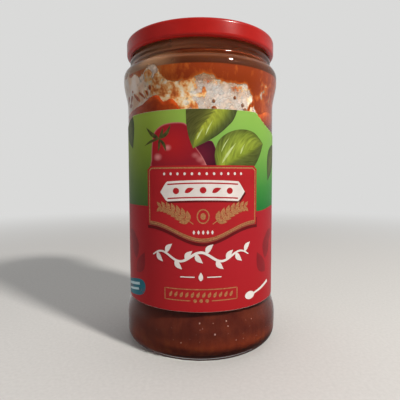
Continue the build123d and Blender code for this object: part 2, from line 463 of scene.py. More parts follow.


# Tones of the sauce that dried in the neck: height in millimetres, colour.
# Its light bands are painted highlight arcs of the glass rings and its dark bands painted shade between them,
# and the tones just under the lid are painted lighter against the lid's shadow.
NECK_TONES_AND_PAINTED_ARCS = [(124.2, "#4E240E"), (124.8, "#50260F"), (125.8, "#50260F"), (126.3, "#54280F"),
              (126.8, "#744630"), (127.4, "#643A22"), (127.9, "#4C200C"), (128.8, "#581F0A"),
              (130.2, "#843A1C"), (131.0, "#703014"), (131.8, "#D88456"), (134.0, "#F09C70")]
NECK_LOW = 122.0            # the neck's tones run between these two heights
NECK_HIGH = 136.0


def sauce_smear(name, thin, middle, thick, opaque_at):
    """Sauce wiped over glass: see-through oil where thin, pulp where thick, dried brown in the neck, with
    painted highlight arcs there and painted paler to the left.
    """
    material, tree = new_material(name)
    place = add_node(tree, "ShaderNodeTexCoord")
    depth = add_node(tree, "ShaderNodeAttribute", {"attribute_name": "thickness"})
    stretched = add_node(tree, "ShaderNodeMapping", {"Scale": (1.0, 1.0, 0.45)},
                         {"Vector": place.outputs["Object"]})
    wiped = add_node(tree, "ShaderNodeTexNoise", {"Scale": per_mm(2.6), "Detail": 5.0, "Roughness": 0.65},
                     {"Vector": stretched.outputs[0]})
    uneven = add_node(tree, "ShaderNodeMapRange", {"From Min": 0.25, "From Max": 0.75, "To Min": 0.35,
                                                   "To Max": 1.5},
                      {"Value": wiped.outputs["Fac"]})
    film = add_node(tree, "ShaderNodeMath", {"operation": "MULTIPLY"},
                    {0: depth.outputs["Fac"], 1: uneven.outputs[0]})
    share = add_node(tree, "ShaderNodeMath", {"operation": "DIVIDE", 1: opaque_at}, {0: film.outputs[0]})
    tone = add_node(tree, "ShaderNodeValToRGB",
                    {"stops": [(0.1, colour(thin)), (0.5, colour(middle)), (1.0, colour(thick))]},
                    {"Fac": share.outputs[0]})
    cover = add_node(tree, "ShaderNodeMapRange", {"From Max": 0.5, "To Max": 1.0,
                                                  "interpolation_type": "SMOOTHSTEP"},
                     {"Value": share.outputs[0]})
    spot = add_node(tree, "ShaderNodeSeparateXYZ", {}, {"Vector": place.outputs["Object"]})
    dried = add_node(tree, "ShaderNodeMapRange",
                     {"From Min": 123.7 * MM, "From Max": 124.3 * MM, "interpolation_type": "SMOOTHSTEP"},
                     {"Value": spot.outputs["Z"]})
    rise = add_node(tree, "ShaderNodeMapRange", {"From Min": NECK_LOW * MM, "From Max": NECK_HIGH * MM},
                    {"Value": spot.outputs["Z"]})
    # The neck's tones hold painted highlight arcs and painted shade, as listed above.
    neck = add_node(tree, "ShaderNodeValToRGB",
                    {"stops": [((height - NECK_LOW) / (NECK_HIGH - NECK_LOW), colour(tone))
                               for height, tone in NECK_TONES_AND_PAINTED_ARCS]},
                    {"Fac": rise.outputs[0]})
    # Painted light: the dried neck is painted paler towards the left, to even out the shade
    # that the key lamp on the right leaves there.
    painted_left_light = add_node(tree, "ShaderNodeMapRange",
                        {"From Min": -6.0 * MM, "From Max": -24.0 * MM, "To Max": 0.64,
                         "interpolation_type": "SMOOTHSTEP"},
                        {"Value": spot.outputs["X"]})
    neck_painted_lighter_left = add_node(tree, "ShaderNodeMix", {"data_type": "RGBA", 7: colour("#C89A74")},
                     {0: painted_left_light.outputs[0], 6: neck.outputs["Color"]})
    shade = add_node(tree, "ShaderNodeMix", {"data_type": "RGBA"},
                     {0: dried.outputs[0], 6: tone.outputs["Color"], 7: neck_painted_lighter_left.outputs[2]})
    surface = add_node(tree, "ShaderNodeBsdfPrincipled",
                       {"Roughness": 0.45, "IOR": 1.4, "Specular IOR Level": 0.05},
                       {"Base Color": shade.outputs[2], "Alpha": cover.outputs[0]})
    add_node(tree, "ShaderNodeOutputMaterial", {}, {"Surface": surface.outputs[0]})
    return material


def pale_haze():
    """Watery juice dried on glass to a pale, faintly pink bloom: a soft mottle that dims what is behind."""
    material, tree = new_material("dried_watery_juice_on_glass")
    place = add_node(tree, "ShaderNodeTexCoord")
    depth = add_node(tree, "ShaderNodeAttribute", {"attribute_name": "thickness"})
    mottle = add_node(tree, "ShaderNodeTexNoise", {"Scale": per_mm(2.2), "Detail": 2.0, "Roughness": 0.5},
                      {"Vector": place.outputs["Object"]})
    cloud = add_node(tree, "ShaderNodeTexNoise", {"Scale": per_mm(6.0), "Detail": 2.0},
                     {"Vector": place.outputs["Object"]})
    tone = add_node(tree, "ShaderNodeValToRGB",
                    {"stops": [(0.36, colour("#DAB08E")), (0.5, colour("#E8D0BC")),
                               (0.64, colour("#F0E0D4"))]},
                    {"Fac": cloud.outputs["Fac"]})
    veil = add_node(tree, "ShaderNodeMapRange",
                    {"From Min": 0.3, "From Max": 0.7, "To Min": 0.16, "To Max": 0.56},
                    {"Value": mottle.outputs["Fac"]})
    share = add_node(tree, "ShaderNodeMath", {"operation": "DIVIDE", 1: 0.1}, {0: depth.outputs["Fac"]})
    cover = add_node(tree, "ShaderNodeMath", {"operation": "MULTIPLY", "use_clamp": True},
                     {0: veil.outputs[0], 1: share.outputs[0]})
    surface = add_node(tree, "ShaderNodeBsdfPrincipled",
                       {"Roughness": 0.6, "IOR": 1.4, "Specular IOR Level": 0.0},
                       {"Base Color": tone.outputs["Color"], "Alpha": cover.outputs[0]})
    add_node(tree, "ShaderNodeOutputMaterial", {}, {"Surface": surface.outputs[0]})
    return material


def oily_film():
    """Thin sauce that tore into cells as it drained: yellow oil between crumbs of orange-brown pulp."""
    material, tree = new_material("drained_sauce_film_on_glass")
    place = add_node(tree, "ShaderNodeTexCoord")
    depth = add_node(tree, "ShaderNodeAttribute", {"attribute_name": "thickness"})
    crumbs = add_node(tree, "ShaderNodeTexNoise", {"Scale": per_mm(1.1), "Detail": 4.0, "Roughness": 0.7},
                      {"Vector": place.outputs["Object"]})
    patches = add_node(tree, "ShaderNodeTexNoise", {"Scale": per_mm(4.0), "Detail": 2.0},
                       {"Vector": place.outputs["Object"]})
    mixed = add_node(tree, "ShaderNodeMix", {"data_type": "FLOAT", 0: 0.4},
                     {2: crumbs.outputs["Fac"], 3: patches.outputs["Fac"]})
    broad = add_node(tree, "ShaderNodeMix", {"data_type": "FLOAT", 0: 0.62},
                     {2: crumbs.outputs["Fac"], 3: patches.outputs["Fac"]})
    tone = add_node(tree, "ShaderNodeValToRGB",
                    {"stops": [(0.39, colour("#FFF6E8")), (0.46, colour("#FCDEAC")),
                               (0.52, colour("#F0AC64")), (0.575, colour("#DA7C3E")),
                               (0.65, colour("#B65826"))]},
                    {"Fac": broad.outputs[0]})
    share = add_node(tree, "ShaderNodeMath", {"operation": "DIVIDE", 1: 0.3}, {0: depth.outputs["Fac"]})
    raised = add_node(tree, "ShaderNodeMath", {"operation": "MULTIPLY_ADD", 1: 1.5},
                      {0: mixed.outputs[0], 2: share.outputs[0]})
    cover = add_node(tree, "ShaderNodeMapRange", {"From Min": 0.72, "From Max": 1.42, "To Max": 0.96,
                                                  "interpolation_type": "SMOOTHSTEP"},
                     {"Value": raised.outputs[0]})
    surface = add_node(tree, "ShaderNodeBsdfPrincipled",
                       {"Roughness": 0.5, "IOR": 1.4, "Specular IOR Level": 0.05},
                       {"Base Color": tone.outputs["Color"], "Alpha": cover.outputs[0]})
    add_node(tree, "ShaderNodeOutputMaterial", {}, {"Surface": surface.outputs[0]})
    return material


# ---------------------------------------------------------------- the sauce in the jar

WETTING = 0.13              # the sauce reaches this far into the glass, so that no air gap shows
POUR_LEVEL = 104.8
PIVOT = 14.0                # height on the axis from which the floor and heel are probed

# Where the sauce meets the glass: degrees round, height. It clings in a hump left of the front.
CONTACT = [(-180, 105.6), (-140, 104.9), (-110, 105.4), (-86, 107.2), (-74, 107.4), (-62, 108.6),
           (-54, 109.4), (-48, 110.0), (-43, 111.0), (-39, 112.2), (-35.5, 112.9),
           (-32.5, 112.8), (-30, 111.8),
           (-28, 110.3), (-26.5, 109.7), (-24.5, 110.1), (-22, 110.8), (-19.5, 110.4), (-17, 109.0),
           (-14.5, 106.8), (-12.5, 105.4), (-6, 104.6), (20, 104.4), (44, 105.2), (60, 107.6),
           (78, 107.4), (100, 105.8), (140, 105.2), (180, 105.6)]


def contact_height(angle):
    """Height at which the sauce meets the glass, a little uneven."""
    wrapped = within_turn(angle)
    return between(CONTACT, wrapped) + 0.2 * grain(angle, 0, 5, seed=3) + 0.12 * grain(angle, 0, 2, seed=4)


def sauce_top(x, y):
    """Height of the free surface away from the wall: slow swells and lumps of pulp."""
    swell = noise.noise(Vector((x / 17, y / 17, 5.0)))
    lumps = noise.fractal(Vector((x / 6, y / 6, 9.0)), 0.9, 2.1, 4)
    return POUR_LEVEL - 0.6 + 0.9 * swell + 0.5 * lumps


def build_sauce(at_glass, surface):
    """The sauce as one closed piece: floor and heel, the side at the glass, and the lumpy free top.

    Its thin values say how far the tone runs from settled to fresh.
    """
    columns = 240
    floor_turns = [-math.radians(a) for a in (86, 78, 69, 60, 51, 43, 36, 30, 25.5)]
    heel_turns = [-math.radians(22.5 - 1.5 * k) for k in range(16)]
    points = [(0.0, 0.0, inner_floor() - WETTING)]
    thin = [0.0]
    rows = []
    for turn in floor_turns + heel_turns:
        row = []
        slope = math.degrees(turn)
        paler = 0.28 * smooth_step((slope + 40) / 18) * smooth_step((-2 - slope) / 14)
        for k in range(columns):
            angle = 360 * k / columns
            direction = around(angle) * math.cos(turn) + Vector((0, 0, math.sin(turn)))
            spot, normal, _, _ = GLASS.ray_cast(Vector((0, 0, PIVOT * MM)), direction)
            outward = normal if normal.dot(direction) > 0 else -normal
            row.append(len(points))
            points.append(tuple(spot / MM + outward * WETTING))
            thin.append(paler)
        rows.append(row)
    side_steps = 44
    for step in range(1, side_steps + 1):
        row = []
        for k in range(columns):
            angle = 360 * k / columns
            wrapped = within_turn(angle)
            # The upper rim of the sauce is fresh and orange at the front and has darkened behind.
            stirred = 1 - 0.7 * smooth_step((abs(wrapped + 15) - 65) / 30)
            lift = 2.2 * smooth_step((wrapped - 20) / 20)
            height = PIVOT + (contact_height(angle) - PIVOT) * (step / side_steps)
            row.append(len(points))
            points.append(on_cylinder(angle, inner_wall(angle, height) + WETTING, height))
            thin.append(stirred * smooth_step((height - 101.0 + lift) / 8.0))
        rows.append(row)
    wall_rows = len(rows)
    top_steps = 34
    for step in range(1, top_steps):
        inset = (step / top_steps) ** 1.35
        row = []
        for k in range(columns):
            angle = 360 * k / columns
            rim = contact_height(angle)
            reach = inner_wall(angle, rim)
            radius = reach * (1 - inset)
            x, y, _ = on_cylinder(angle, radius, 0)
            cling = 1 - smooth_step((reach - radius - 0.4) / (3.5 + 0.8 * (rim - POUR_LEVEL)))
            height = sauce_top(x, y) * (1 - cling) + rim * cling
            row.append(len(points))
            points.append((x, y, height))
            thin.append(0.0)
        rows.append(row)
    points.append((0.0, 0.0, sauce_top(0, 0)))
    thin.append(0.0)
    faces = []
    face_slots = []
    for k in range(columns):
        after = (k + 1) % columns
        faces.append((0, rows[0][after], rows[0][k]))
        face_slots.append(0)
        for index, (low, high) in enumerate(zip(rows, rows[1:])):
            faces.append((low[k], low[after], high[after], high[k]))
            face_slots.append(0 if index + 1 < wall_rows else 1)
        faces.append((rows[-1][k], rows[-1][after], len(points) - 1))
        face_slots.append(1)
    piece = add_piece("sauce_fill", points, faces, [at_glass, surface],
                      {"thin": thin}, None, face_slots)
    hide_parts("sauce")
    return piece


def inner_floor():
    """Height of the inside of the base on the axis."""
    return PIVOT - GLASS.ray_cast(Vector((0.0001, 0, PIVOT * MM)), Vector((0, 0, -1)))[3] / MM


# ---------------------------------------------------------------- smears and drops on the glass

# Lower edge of the coat that was wiped round the shoulder and neck: degrees round, height.
COAT_EDGE = [(-180, 139), (-150, 139), (-122, 134), (-104, 127), (-88, 124.5), (-79, 125.6), (-70, 125.2),
             (-62, 124.8), (-56, 124.2), (-51, 121.6), (-47, 120.4), (-43, 120.6), (-40, 123), (-36, 124.6),
             (-32, 124.4), (-29.5, 121.5), (-27.4, 119.8), (-22.2, 117.0), (-17.8, 116.6), (-12, 117.2),
             (-5.6, 117.5), (-1.6, 118.9), (2.5, 119.3), (7.8, 119.0), (11.9, 117.6), (18.9, 116.7),
             (28.1, 116.7), (34, 116.5), (37, 114.9), (40, 112.6), (42.4, 109), (44, 106.5), (46.5, 104.5),
             (80, 105), (92, 118), (108, 126), (130, 136), (180, 139)]


def coat_depth(angle, height):
    """Thickness of the wiped coat, in millimetres."""
    wrapped = within_turn(angle)
    edge = between(COAT_EDGE, wrapped + 1.2 * grain(angle, height, 3, seed=11))
    edge += 0.5 * grain(angle, height, 2.2, seed=12) + 0.35 * grain(angle, height, 0.9, seed=13)
    rise = (height - edge) / 1.6
    body = 0.42 + 0.16 * grain(angle, height, 5, seed=14)
    body -= 0.21 * smooth_step((-8 - wrapped) / 16)
    body += 0.12 * smooth_step((wrapped - 6) / 14) * (1 - smooth_step((wrapped - 40) / 8))
    if height > 124 and wrapped < -24:
        # The left of the neck dried to an even brown skin.
        body += 0.12 * smooth_step((-24 - wrapped) / 12) * smooth_step((height - 124) / 2)
    body -= 0.05 * smooth_step((wrapped - 38) / 8) * smooth_step((119 - height) / 6)
    if 40 < wrapped < 92:
        # Right of the front the coat runs down to the sauce in a torn, spotted film.
        torn = grain(angle, height, 1.3, seed=17, tall=1.5) + 0.6 * grain(angle, height, 2.6, seed=18)
        spotted = smooth_step((wrapped - 41) / 5) * smooth_step((122.5 - height) / 4)
        spotted *= smooth_step((height - 110) / 3) * (1 - smooth_step((wrapped - 66) / 8))
        body -= spotted * (0.07 + 0.4 * torn)
    return min(1.0, max(0.0, rise)) * max(0.0, body)


# Patches of the drained film: degrees round, height, half width, half height, lean, thickness.
# The lean is in degrees per millimetre.
FILM_PATCHES = [(-20.0, 115.5, 7.0, 7.0, 0.0, 0.4), (-13.0, 112.4, 9.5, 3.2, 0.0, 0.28),
                (-9.0, 115.2, 8.0, 4.4, 0.0, 0.22), (-5.0, 108.0, 3.4, 4.6, -0.9, 0.2),
                (-1.2, 111.8, 5.6, 1.1, 0.0, 0.22), (-24.5, 113.0, 8.0, 6.0, 0.0, 0.3),
                (-31.0, 116.4, 7.0, 7.0, 0.6, 0.24), (-38.0, 120.0, 5.0, 4.4, 0.0, 0.15),
                (2.5, 112.8, 1.8, 2.8, 0.1, 0.26), (-14.0, 108.2, 8.0, 4.2, 0.0, 0.22),
                (-42.0, 115.0, 3.6, 3.4, 0.0, 0.12), (29.0, 115.0, 9.0, 1.8, 0.0, 0.1),
                (38.5, 109.5, 4.0, 3.6, 0.0, 0.22), (-60.0, 123.6, 9.0, 1.2, 0.0, 0.06),
                (52.0, 117.0, 9.0, 5.5, 0.0, 0.06), (14.0, 117.0, 12.0, 1.6, 0.0, 0.08)]


def film_depth(angle, height):
    """Thickness of the thin film that hangs below the coat, mostly left of the front."""
    wrapped = within_turn(angle)
    total = 0.0
    ragged = 0.45 * grain(angle, height, 1.6, seed=21) + 0.25 * grain(angle, height, 0.8, seed=22)
    for centre, middle, half_width, half_height, lean, thickness in FILM_PATCHES:
        across = (wrapped - centre - lean * (height - middle)) / half_width
        up = (height - middle) / half_height
        inside = 1.15 - across * across - up * up + ragged
        total = max(total, thickness * smooth_step(inside))
    return total


def haze_depth(angle, height):
    """Pale dried bloom over the clear glass, a little thinner in places and thicker towards the left, partly
    as painted light.
    """
    wrapped = within_turn(angle)
    side = smooth_step((100 - abs(wrapped)) / 14) * smooth_step((126 - height) / 2)
    # Thicker towards the left: partly more bloom, partly painted light for the brighter glass there.
    dense_and_painted_light = 0.1 + 0.1 * smooth_step((-4 - wrapped) / 24) + 0.3 * smooth_step((-36 - wrapped) / 20)
    return max(0.0, side * (dense_and_painted_light + 0.03 * grain(angle, height, 3.0, seed=41)))


def run_depth(runs):
    """Thickness of runs of sauce: degrees round, height, half width, half height, lean in degrees per mm."""
    def depth(angle, height):
        """Thickness at one place."""
        wrapped = within_turn(angle)
        total = 0.0
        for centre, middle, half_width, half_height, lean in runs:
            across = (wrapped - centre - lean * (height - middle)) / half_width
            up = (height - middle) / half_height
            ragged = 0.35 * grain(angle, height, 1.6, seed=31)
            total = max(total, 1 - across * across - up * up + ragged)
        return 0.4 * max(0.0, min(1.0, total))
    return depth


SAUCE_RUNS = [(-68, 124.4, 6.0, 1.3, 0.6), (-57.5, 123.8, 4.6, 1.5, -0.4), (-71, 114.6, 3.4, 1.5, 1.4),
              (-63.5, 114.0, 2.4, 1.7, 1.2), (-54, 113.6, 2.4, 2.5, -1.7), (-47.5, 114.2, 1.7, 2.1, -1.9),
              (-41.5, 114.6, 1.5, 1.7, -0.6), (-38, 116.4, 1.6, 1.4, 0.0), (-66.5, 111.2, 4.6, 1.0, 0.0),
              (-59, 116.8, 1.4, 0.6, 0.0), (37.4, 107.6, 1.6, 2.2, 0.8), (41.0, 109.8, 1.8, 2.2, 0.4),
              (-130, 109.5, 2.2, 2.6, 0.2), (118, 110.0, 2.4, 3.0, -0.2), (150, 108.0, 2.6, 1.8, 0.0),
              (-165, 108.6, 1.6, 2.4, 0.0)]


def build_coat(name, depth, turn, rise, material, wetting=0.05):
    """A closed skin on the inside of the glass over the stretch where depth is above nought."""
    angle_step = 0.8
    height_step = 0.5
    columns = round((turn[1] - turn[0]) / angle_step)
    rows = round((rise[1] - rise[0]) / height_step)
    closed = turn[1] - turn[0] >= 360
    depths = {}
    for i in range(columns + (0 if closed else 1)):
        for j in range(rows + 1):
            angle = turn[0] + i * angle_step
            height = rise[0] + j * height_step
            on_border = j in (0, rows) or (not closed and i in (0, columns))
            depths[i, j] = 0.0 if on_border else depth(angle, height)
    points = []
    thickness = []
    numbers = {}

    def corner(i, j, side):
        """Number of the point on one side of the skin. The two sides meet where the depth is nought."""
        value = depths[i, j]
        key = (i, j, side if value > 0 else 0)
        if key not in numbers:
            angle = turn[0] + i * angle_step
            height = rise[0] + j * height_step
            wall = inner_wall(angle, height)
            radius = wall + min(wetting, value / 3) if side == 0 and value > 0 else wall - value
            numbers[key] = len(points)
            points.append(on_cylinder(angle, radius, height))
            thickness.append(value)
        return numbers[key]

    faces = []
    for i in range(columns):
        after = (i + 1) % columns if closed else i + 1
        for j in range(rows):
            cell = [(i, j), (after, j), (after, j + 1), (i, j + 1)]
            if max(depths[c] for c in cell) <= 0:
                continue
            outer = [corner(*c, 0) for c in cell]
            inner = [corner(*c, 1) for c in cell]
            faces.append(outer)
            faces.append(inner[::-1])
    return add_piece(name, points, faces, [material], {"thickness": thickness})


def add_dome(points, faces, centre_angle, height, radius, bulge, drip=1.0):
    """A flattened drop on the inside of the glass. drip above one draws it out downwards."""
    sides = 14
    rings = 4
    wall = inner_wall(centre_angle, height)
    first = len(points)
    depths = []
    for ring in range(rings + 1):
        turn = math.pi / 2 * ring / rings
        spread = math.cos(turn)
        depth = bulge * math.sin(turn) if ring else -0.06
        for side in range(sides if ring < rings else 1):
            around_drop = math.tau * side / sides
            across = radius * spread * math.cos(around_drop)
            up = radius * spread * math.sin(around_drop) * (drip if math.sin(around_drop) > 0 else 1.0)
            angle = centre_angle + math.degrees(across / wall)
            points.append(on_cylinder(angle, inner_wall(angle, height + up) - depth, height + up))
            depths.append(bulge * (0.35 + 0.65 * math.sin(turn)))
    for ring in range(rings - 1):
        for side in range(sides):
            after = (side + 1) % sides
            low = first + ring * sides
            faces.append((low + side, low + sides + side, low + sides + after, low + after))
    tip = first + rings * sides
    for side in range(sides):
        after = (side + 1) % sides
        faces.append((tip - sides + side, tip, tip - sides + after))
    faces.append([first + side for side in range(sides)])
    return depths


# Single drops of sauce on the clear glass: degrees round, height, radius, how drawn out.
DROPS = [(9.2, 109.2, 0.65, 1.5), (9.5, 106.2, 1.15, 1.1), (24.9, 111.1, 0.7, 1.2), (26.9, 113.0, 0.45, 1.2),
         (31.5, 108.3, 0.8, 1.2), (33.4, 106.6, 0.9, 1.0), (7.2, 113.9, 0.4, 1.0), (3.1, 105.9, 0.35, 1.0),
         (21.1, 107.7, 0.3, 1.0), (25.8, 106.1, 0.35, 1.0), (39.0, 109.4, 0.7, 1.0), (-6.5, 106.4, 0.5, 1.0),
         (14.0, 112.0, 0.25, 1.0), (29.0, 113.8, 0.3, 1.0), (-50.0, 118.5, 0.5, 1.3),
         (-42.0, 117.4, 0.5, 1.2)]


def build_drops(material):
    """The listed drops and a seeded scatter of specks."""
    chance = random.Random(7)
    points = []
    faces = []
    thickness = []
    listed = list(DROPS)
    for _ in range(60):
        listed.append((chance.uniform(-175, 180), chance.uniform(105.5, 119), chance.uniform(0.1, 0.24), 1.2))
    for angle, height, radius, drip in listed:
        thickness += add_dome(points, faces, angle, height, radius, radius * 0.5, drip)
    return add_piece("sauce_drops", points, faces, [material], {"thickness": thickness})


# Pale flecks in the sauce against the glass, painted highlights for the glints of small bubbles: degrees
# round, height, half height.
FLECKS = [(-0.9, 17.4, 0.45), (18.0, 17.7, 0.5), (18.9, 15.7, 0.35), (-13.7, 9.3, 0.45), (8.4, 17.3, 0.3),
          (9.4, 12.9, 0.55), (38.9, 16.4, 0.4), (-0.7, 14.9, 0.2), (24.8, 9.4, 0.3)]


def build_flecks():
    """Pale specks against the glass, mostly pale, drawn out upwards: painted highlights for the glints of
    small bubbles.
    """
    material, tree = new_material("pale_specks_painted_glints")
    place = add_node(tree, "ShaderNodeTexCoord")
    tone = add_node(tree, "ShaderNodeTexNoise", {"Scale": per_mm(6)}, {"Vector": place.outputs["Object"]})
    shade = add_node(tree, "ShaderNodeValToRGB",
                     {"stops": [(0.35, colour("#B07A66")), (0.65, colour("#E2C4B4"))]},
                     {"Fac": tone.outputs["Fac"]})
    surface = add_node(tree, "ShaderNodeBsdfPrincipled",
                       {"Roughness": 0.5, "IOR": 1.45, "Specular IOR Level": 0.0},
                       {"Base Color": shade.outputs["Color"]})
    add_node(tree, "ShaderNodeOutputMaterial", {}, {"Surface": surface.outputs[0]})
    chance = random.Random(21)
    listed = list(FLECKS)
    for _ in range(70):
        listed.append((chance.uniform(-180, 180), chance.uniform(8.5, 21.0), chance.uniform(0.09, 0.2)))
    points = []
    faces = []
    for angle, height, half in listed:
        add_dome(points, faces, angle, height, half * 0.6, -0.22, 1.6)
    add_piece("sauce_flecks", points, [face[::-1] for face in faces], [material])


# ---------------------------------------------------------------- the label

PAPER_THICKNESS = 0.15
LAYER = 0.012               # each ink or varnish layer stands this much above the one below it
EDGE_MARGIN = 0.05          # bare paper left at the cut edge
SEAM_HALF = 107.8           # the print ends here on each side of the back seam


def wrap(u, z, radius):
    """Point on the label at a radius, from its place on the unrolled paper."""
    return on_cylinder(math.degrees(u / LABEL_RADIUS), radius, z)


def is_paper(u, z):
    """Whether a level probe meets the plain strip."""
    direction = around(math.degrees(u / LABEL_RADIUS))
    start = direction * (LABEL_RADIUS + 5) * MM + Vector((0, 0, z * MM))
    distance = PAPER.ray_cast(start, -direction)[3]
    return distance is not None and distance < 6 * MM


def measure_top(u):
    """Height of the paper's upper edge, found by halving."""
    low = LABEL_FOOT + 5
    high = LABEL_HEAD + 1
    for _ in range(13):
        middle = (low + high) / 2
        if is_paper(u, middle):
            low = middle
        else:
            high = middle
    return low


# The right shoulder of the paper is die-cut with a crisp corner: millimetres round, height of the edge.
CORNER_CUT = [(25.6, 106.5), (26.0, 105.8), (28.3, 104.1), (30.8, 102.6), (33.2, 101.3), (35.7, 100.4),
              (38.1, 99.7), (40.6, 99.2), (43.1, 98.7), (47.0, 97.8), (52.0, 96.6), (57.0, 95.5),
              (62.0, 94.5)]


def cut_edge(u):
    """Upper edge of the paper, with the crisp corner."""
    top = measure_top(u)
    return min(top, between(CORNER_CUT, u)) if CORNER_CUT[0][0] < u < CORNER_CUT[-1][0] else top


PAPER_STEP = 0.5            # millimetres between the columns of the paper
PAPER_END = 108.0           # the strip ends here on each side of the back seam
PAPER_COLUMNS = round(PAPER_END / PAPER_STEP)
TOPS = [(k * PAPER_STEP, cut_edge(k * PAPER_STEP)) for k in range(-PAPER_COLUMNS, PAPER_COLUMNS + 1)]


def paper_top(u):
    """Upper edge of the print, just inside the cut."""
    reach = PAPER_END - 0.1
    place = (min(max(u, -reach), reach) + PAPER_END) / PAPER_STEP
    index = int(place)
    share = place - index
    return TOPS[index][1] * (1 - share) + TOPS[index + 1][1] * share - EDGE_MARGIN


def build_paper(material):
    """The label's paper as a closed strip with the crisp corner, inside the plain strip it replaces."""
    outside = LABEL_RADIUS
    inside = LABEL_RADIUS - PAPER_THICKNESS
    points = []
    for u, top in TOPS:
        for radius, z in ((outside, LABEL_FOOT), (outside, top), (inside, top), (inside, LABEL_FOOT)):
            points.append(wrap(u, z, radius))
    faces = [(0, 1, 2, 3)]
    for column in range(len(TOPS) - 1):
        first = 4 * column
        for side in range(4):
            after = (side + 1) % 4
            faces.append((first + side, first + 4 + side, first + 4 + after, first + after))
    last = 4 * (len(TOPS) - 1)
    faces.append((last + 3, last + 2, last + 1, last))
    piece = add_piece("wrap_label", points, faces, [material], crisp=True)
    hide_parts("label")
    return piece


def field_net(left, right, lower, upper, step=1.0, rows=1):
    """Net of columns between two edges given as functions of u."""
    count = max(2, math.ceil((right - left) / step))
    spots = []
    faces = []
    for i in range(count + 1):
        u = left + (right - left) * i / count
        for j in range(rows + 1):
            spots.append((u, lower(u) + (upper(u) - lower(u)) * j / rows))
    for i in range(count):
        for j in range(rows):
            low = i * (rows + 1) + j
            faces.append((low, low + rows + 1, low + rows + 2, low + 1))
    return {"spots": spots, "faces": faces}


def line_net(path, width):
    """Net of an even line along a path of points. width may be a function of the share of the way."""
    fine = []
    for (u0, z0), (u1, z1) in zip(path, path[1:]):
        pieces = max(1, math.ceil(abs(u1 - u0) / 0.9))
        for k in range(pieces):
            fine.append((u0 + (u1 - u0) * k / pieces, z0 + (z1 - z0) * k / pieces))
    fine.append(path[-1])
    spots = []
    faces = []
    last = len(fine) - 1
    for k, (u, z) in enumerate(fine):
        before = fine[max(0, k - 1)]
        after = fine[min(last, k + 1)]
        run = math.hypot(after[0] - before[0], after[1] - before[1])
        half = (width(k / last) if callable(width) else width) / 2
        side_u = -(after[1] - before[1]) / run * half
        side_z = (after[0] - before[0]) / run * half
        spots.append((u - side_u, z - side_z))
        spots.append((u + side_u, z + side_z))
    for k in range(last):
        faces.append((2 * k, 2 * k + 2, 2 * k + 3, 2 * k + 1))
    return {"spots": spots, "faces": faces}


def leaf_net(base, tip, half_width, bend=0.0, steps=16, lanes=8, fullness=0.8):
    """Net of a leaf from its base to its tip. bend bows the midrib to the left of that way."""
    du = tip[0] - base[0]
    dz = tip[1] - base[1]
    length = math.hypot(du, dz)
    side = (-dz / length, du / length)
    spots = []
    along = []
    across = []
    for i in range(steps + 1):
        share = i / steps
        bow = bend * math.sin(math.pi * share)
        centre = (base[0] + du * share + side[0] * bow, base[1] + dz * share + side[1] * bow)
        spread = half_width * (math.sin(math.pi * share ** fullness) + 0.012)
        for j in range(lanes + 1):
            lane = 2 * j / lanes - 1
            spots.append((centre[0] + side[0] * spread * lane, centre[1] + side[1] * spread * lane))
            along.append(share)
            across.append(lane)
    faces = []
    for i in range(steps):
        for j in range(lanes):
            low = i * (lanes + 1) + j
            faces.append((low, low + lanes + 1, low + lanes + 2, low + 1))
    return {"spots": spots, "faces": [f[::-1] for f in faces], "along": along, "across": across}


def round_net(centre, half_u, half_z, power=2.0, rings=9, sides=48, tilt=0.0):
    """Net of a round or softly squared spot, with places inside it from -1 to 1."""
    spots = [centre]
    local = [(0.0, 0.0, 0.0)]
    lean = math.radians(tilt)
    for ring in range(1, rings + 1):
        for side in range(sides):
            turn = math.tau * side / sides
            c = math.cos(turn)
            s = math.sin(turn)
            size = (abs(c) ** power + abs(s) ** power) ** (-1 / power) * ring / rings
            across = half_u * size * c
            up = half_z * size * s
            spots.append((centre[0] + across * math.cos(lean) - up * math.sin(lean),
                          centre[1] + across * math.sin(lean) + up * math.cos(lean)))
            local.append((size * c, size * s, 0.0))
    faces = [(0, 1 + side, 1 + (side + 1) % sides) for side in range(sides)]
    for ring in range(rings - 1):
        for side in range(sides):
            after = (side + 1) % sides
            low = 1 + ring * sides
            faces.append((low + side, low + sides + side, low + sides + after, low + after))
    return {"spots": spots, "faces": faces, "local": local}


def smooth_path(points, count, closed=False):
    """Evenly spaced points on a smooth curve through the given ones."""
    fine = []
    last = len(points) if closed else len(points) - 1
    for k in range(last):
        if closed:
            before, start, end, after = (points[(k + d) % len(points)] for d in (-1, 0, 1, 2))
        else:
            before, start, end, after = (points[min(max(k + d, 0), last)] for d in (-1, 0, 1, 2))
        for step in range(12):
            t = step / 12
            fine.append(tuple(0.5 * (2 * q + (r - p) * t + (2 * p - 5 * q + 4 * r - w) * t * t
                                     + (3 * q - p - 3 * r + w) * t ** 3)
                              for p, q, r, w in zip(before, start, end, after)))
    fine.append(points[0] if closed else points[-1])
    lengths = [0.0]
    for p, q in zip(fine, fine[1:]):
        lengths.append(lengths[-1] + math.dist(p, q))
    path = []
    index = 0
    for k in range(count):
        target = lengths[-1] * k / (count if closed else count - 1)
        while index < len(fine) - 2 and lengths[index + 1] < target:
            index += 1
        share = (target - lengths[index]) / max(1e-9, lengths[index + 1] - lengths[index])
        path.append(tuple(p + (q - p) * share for p, q in zip(fine[index], fine[index + 1])))
    return path


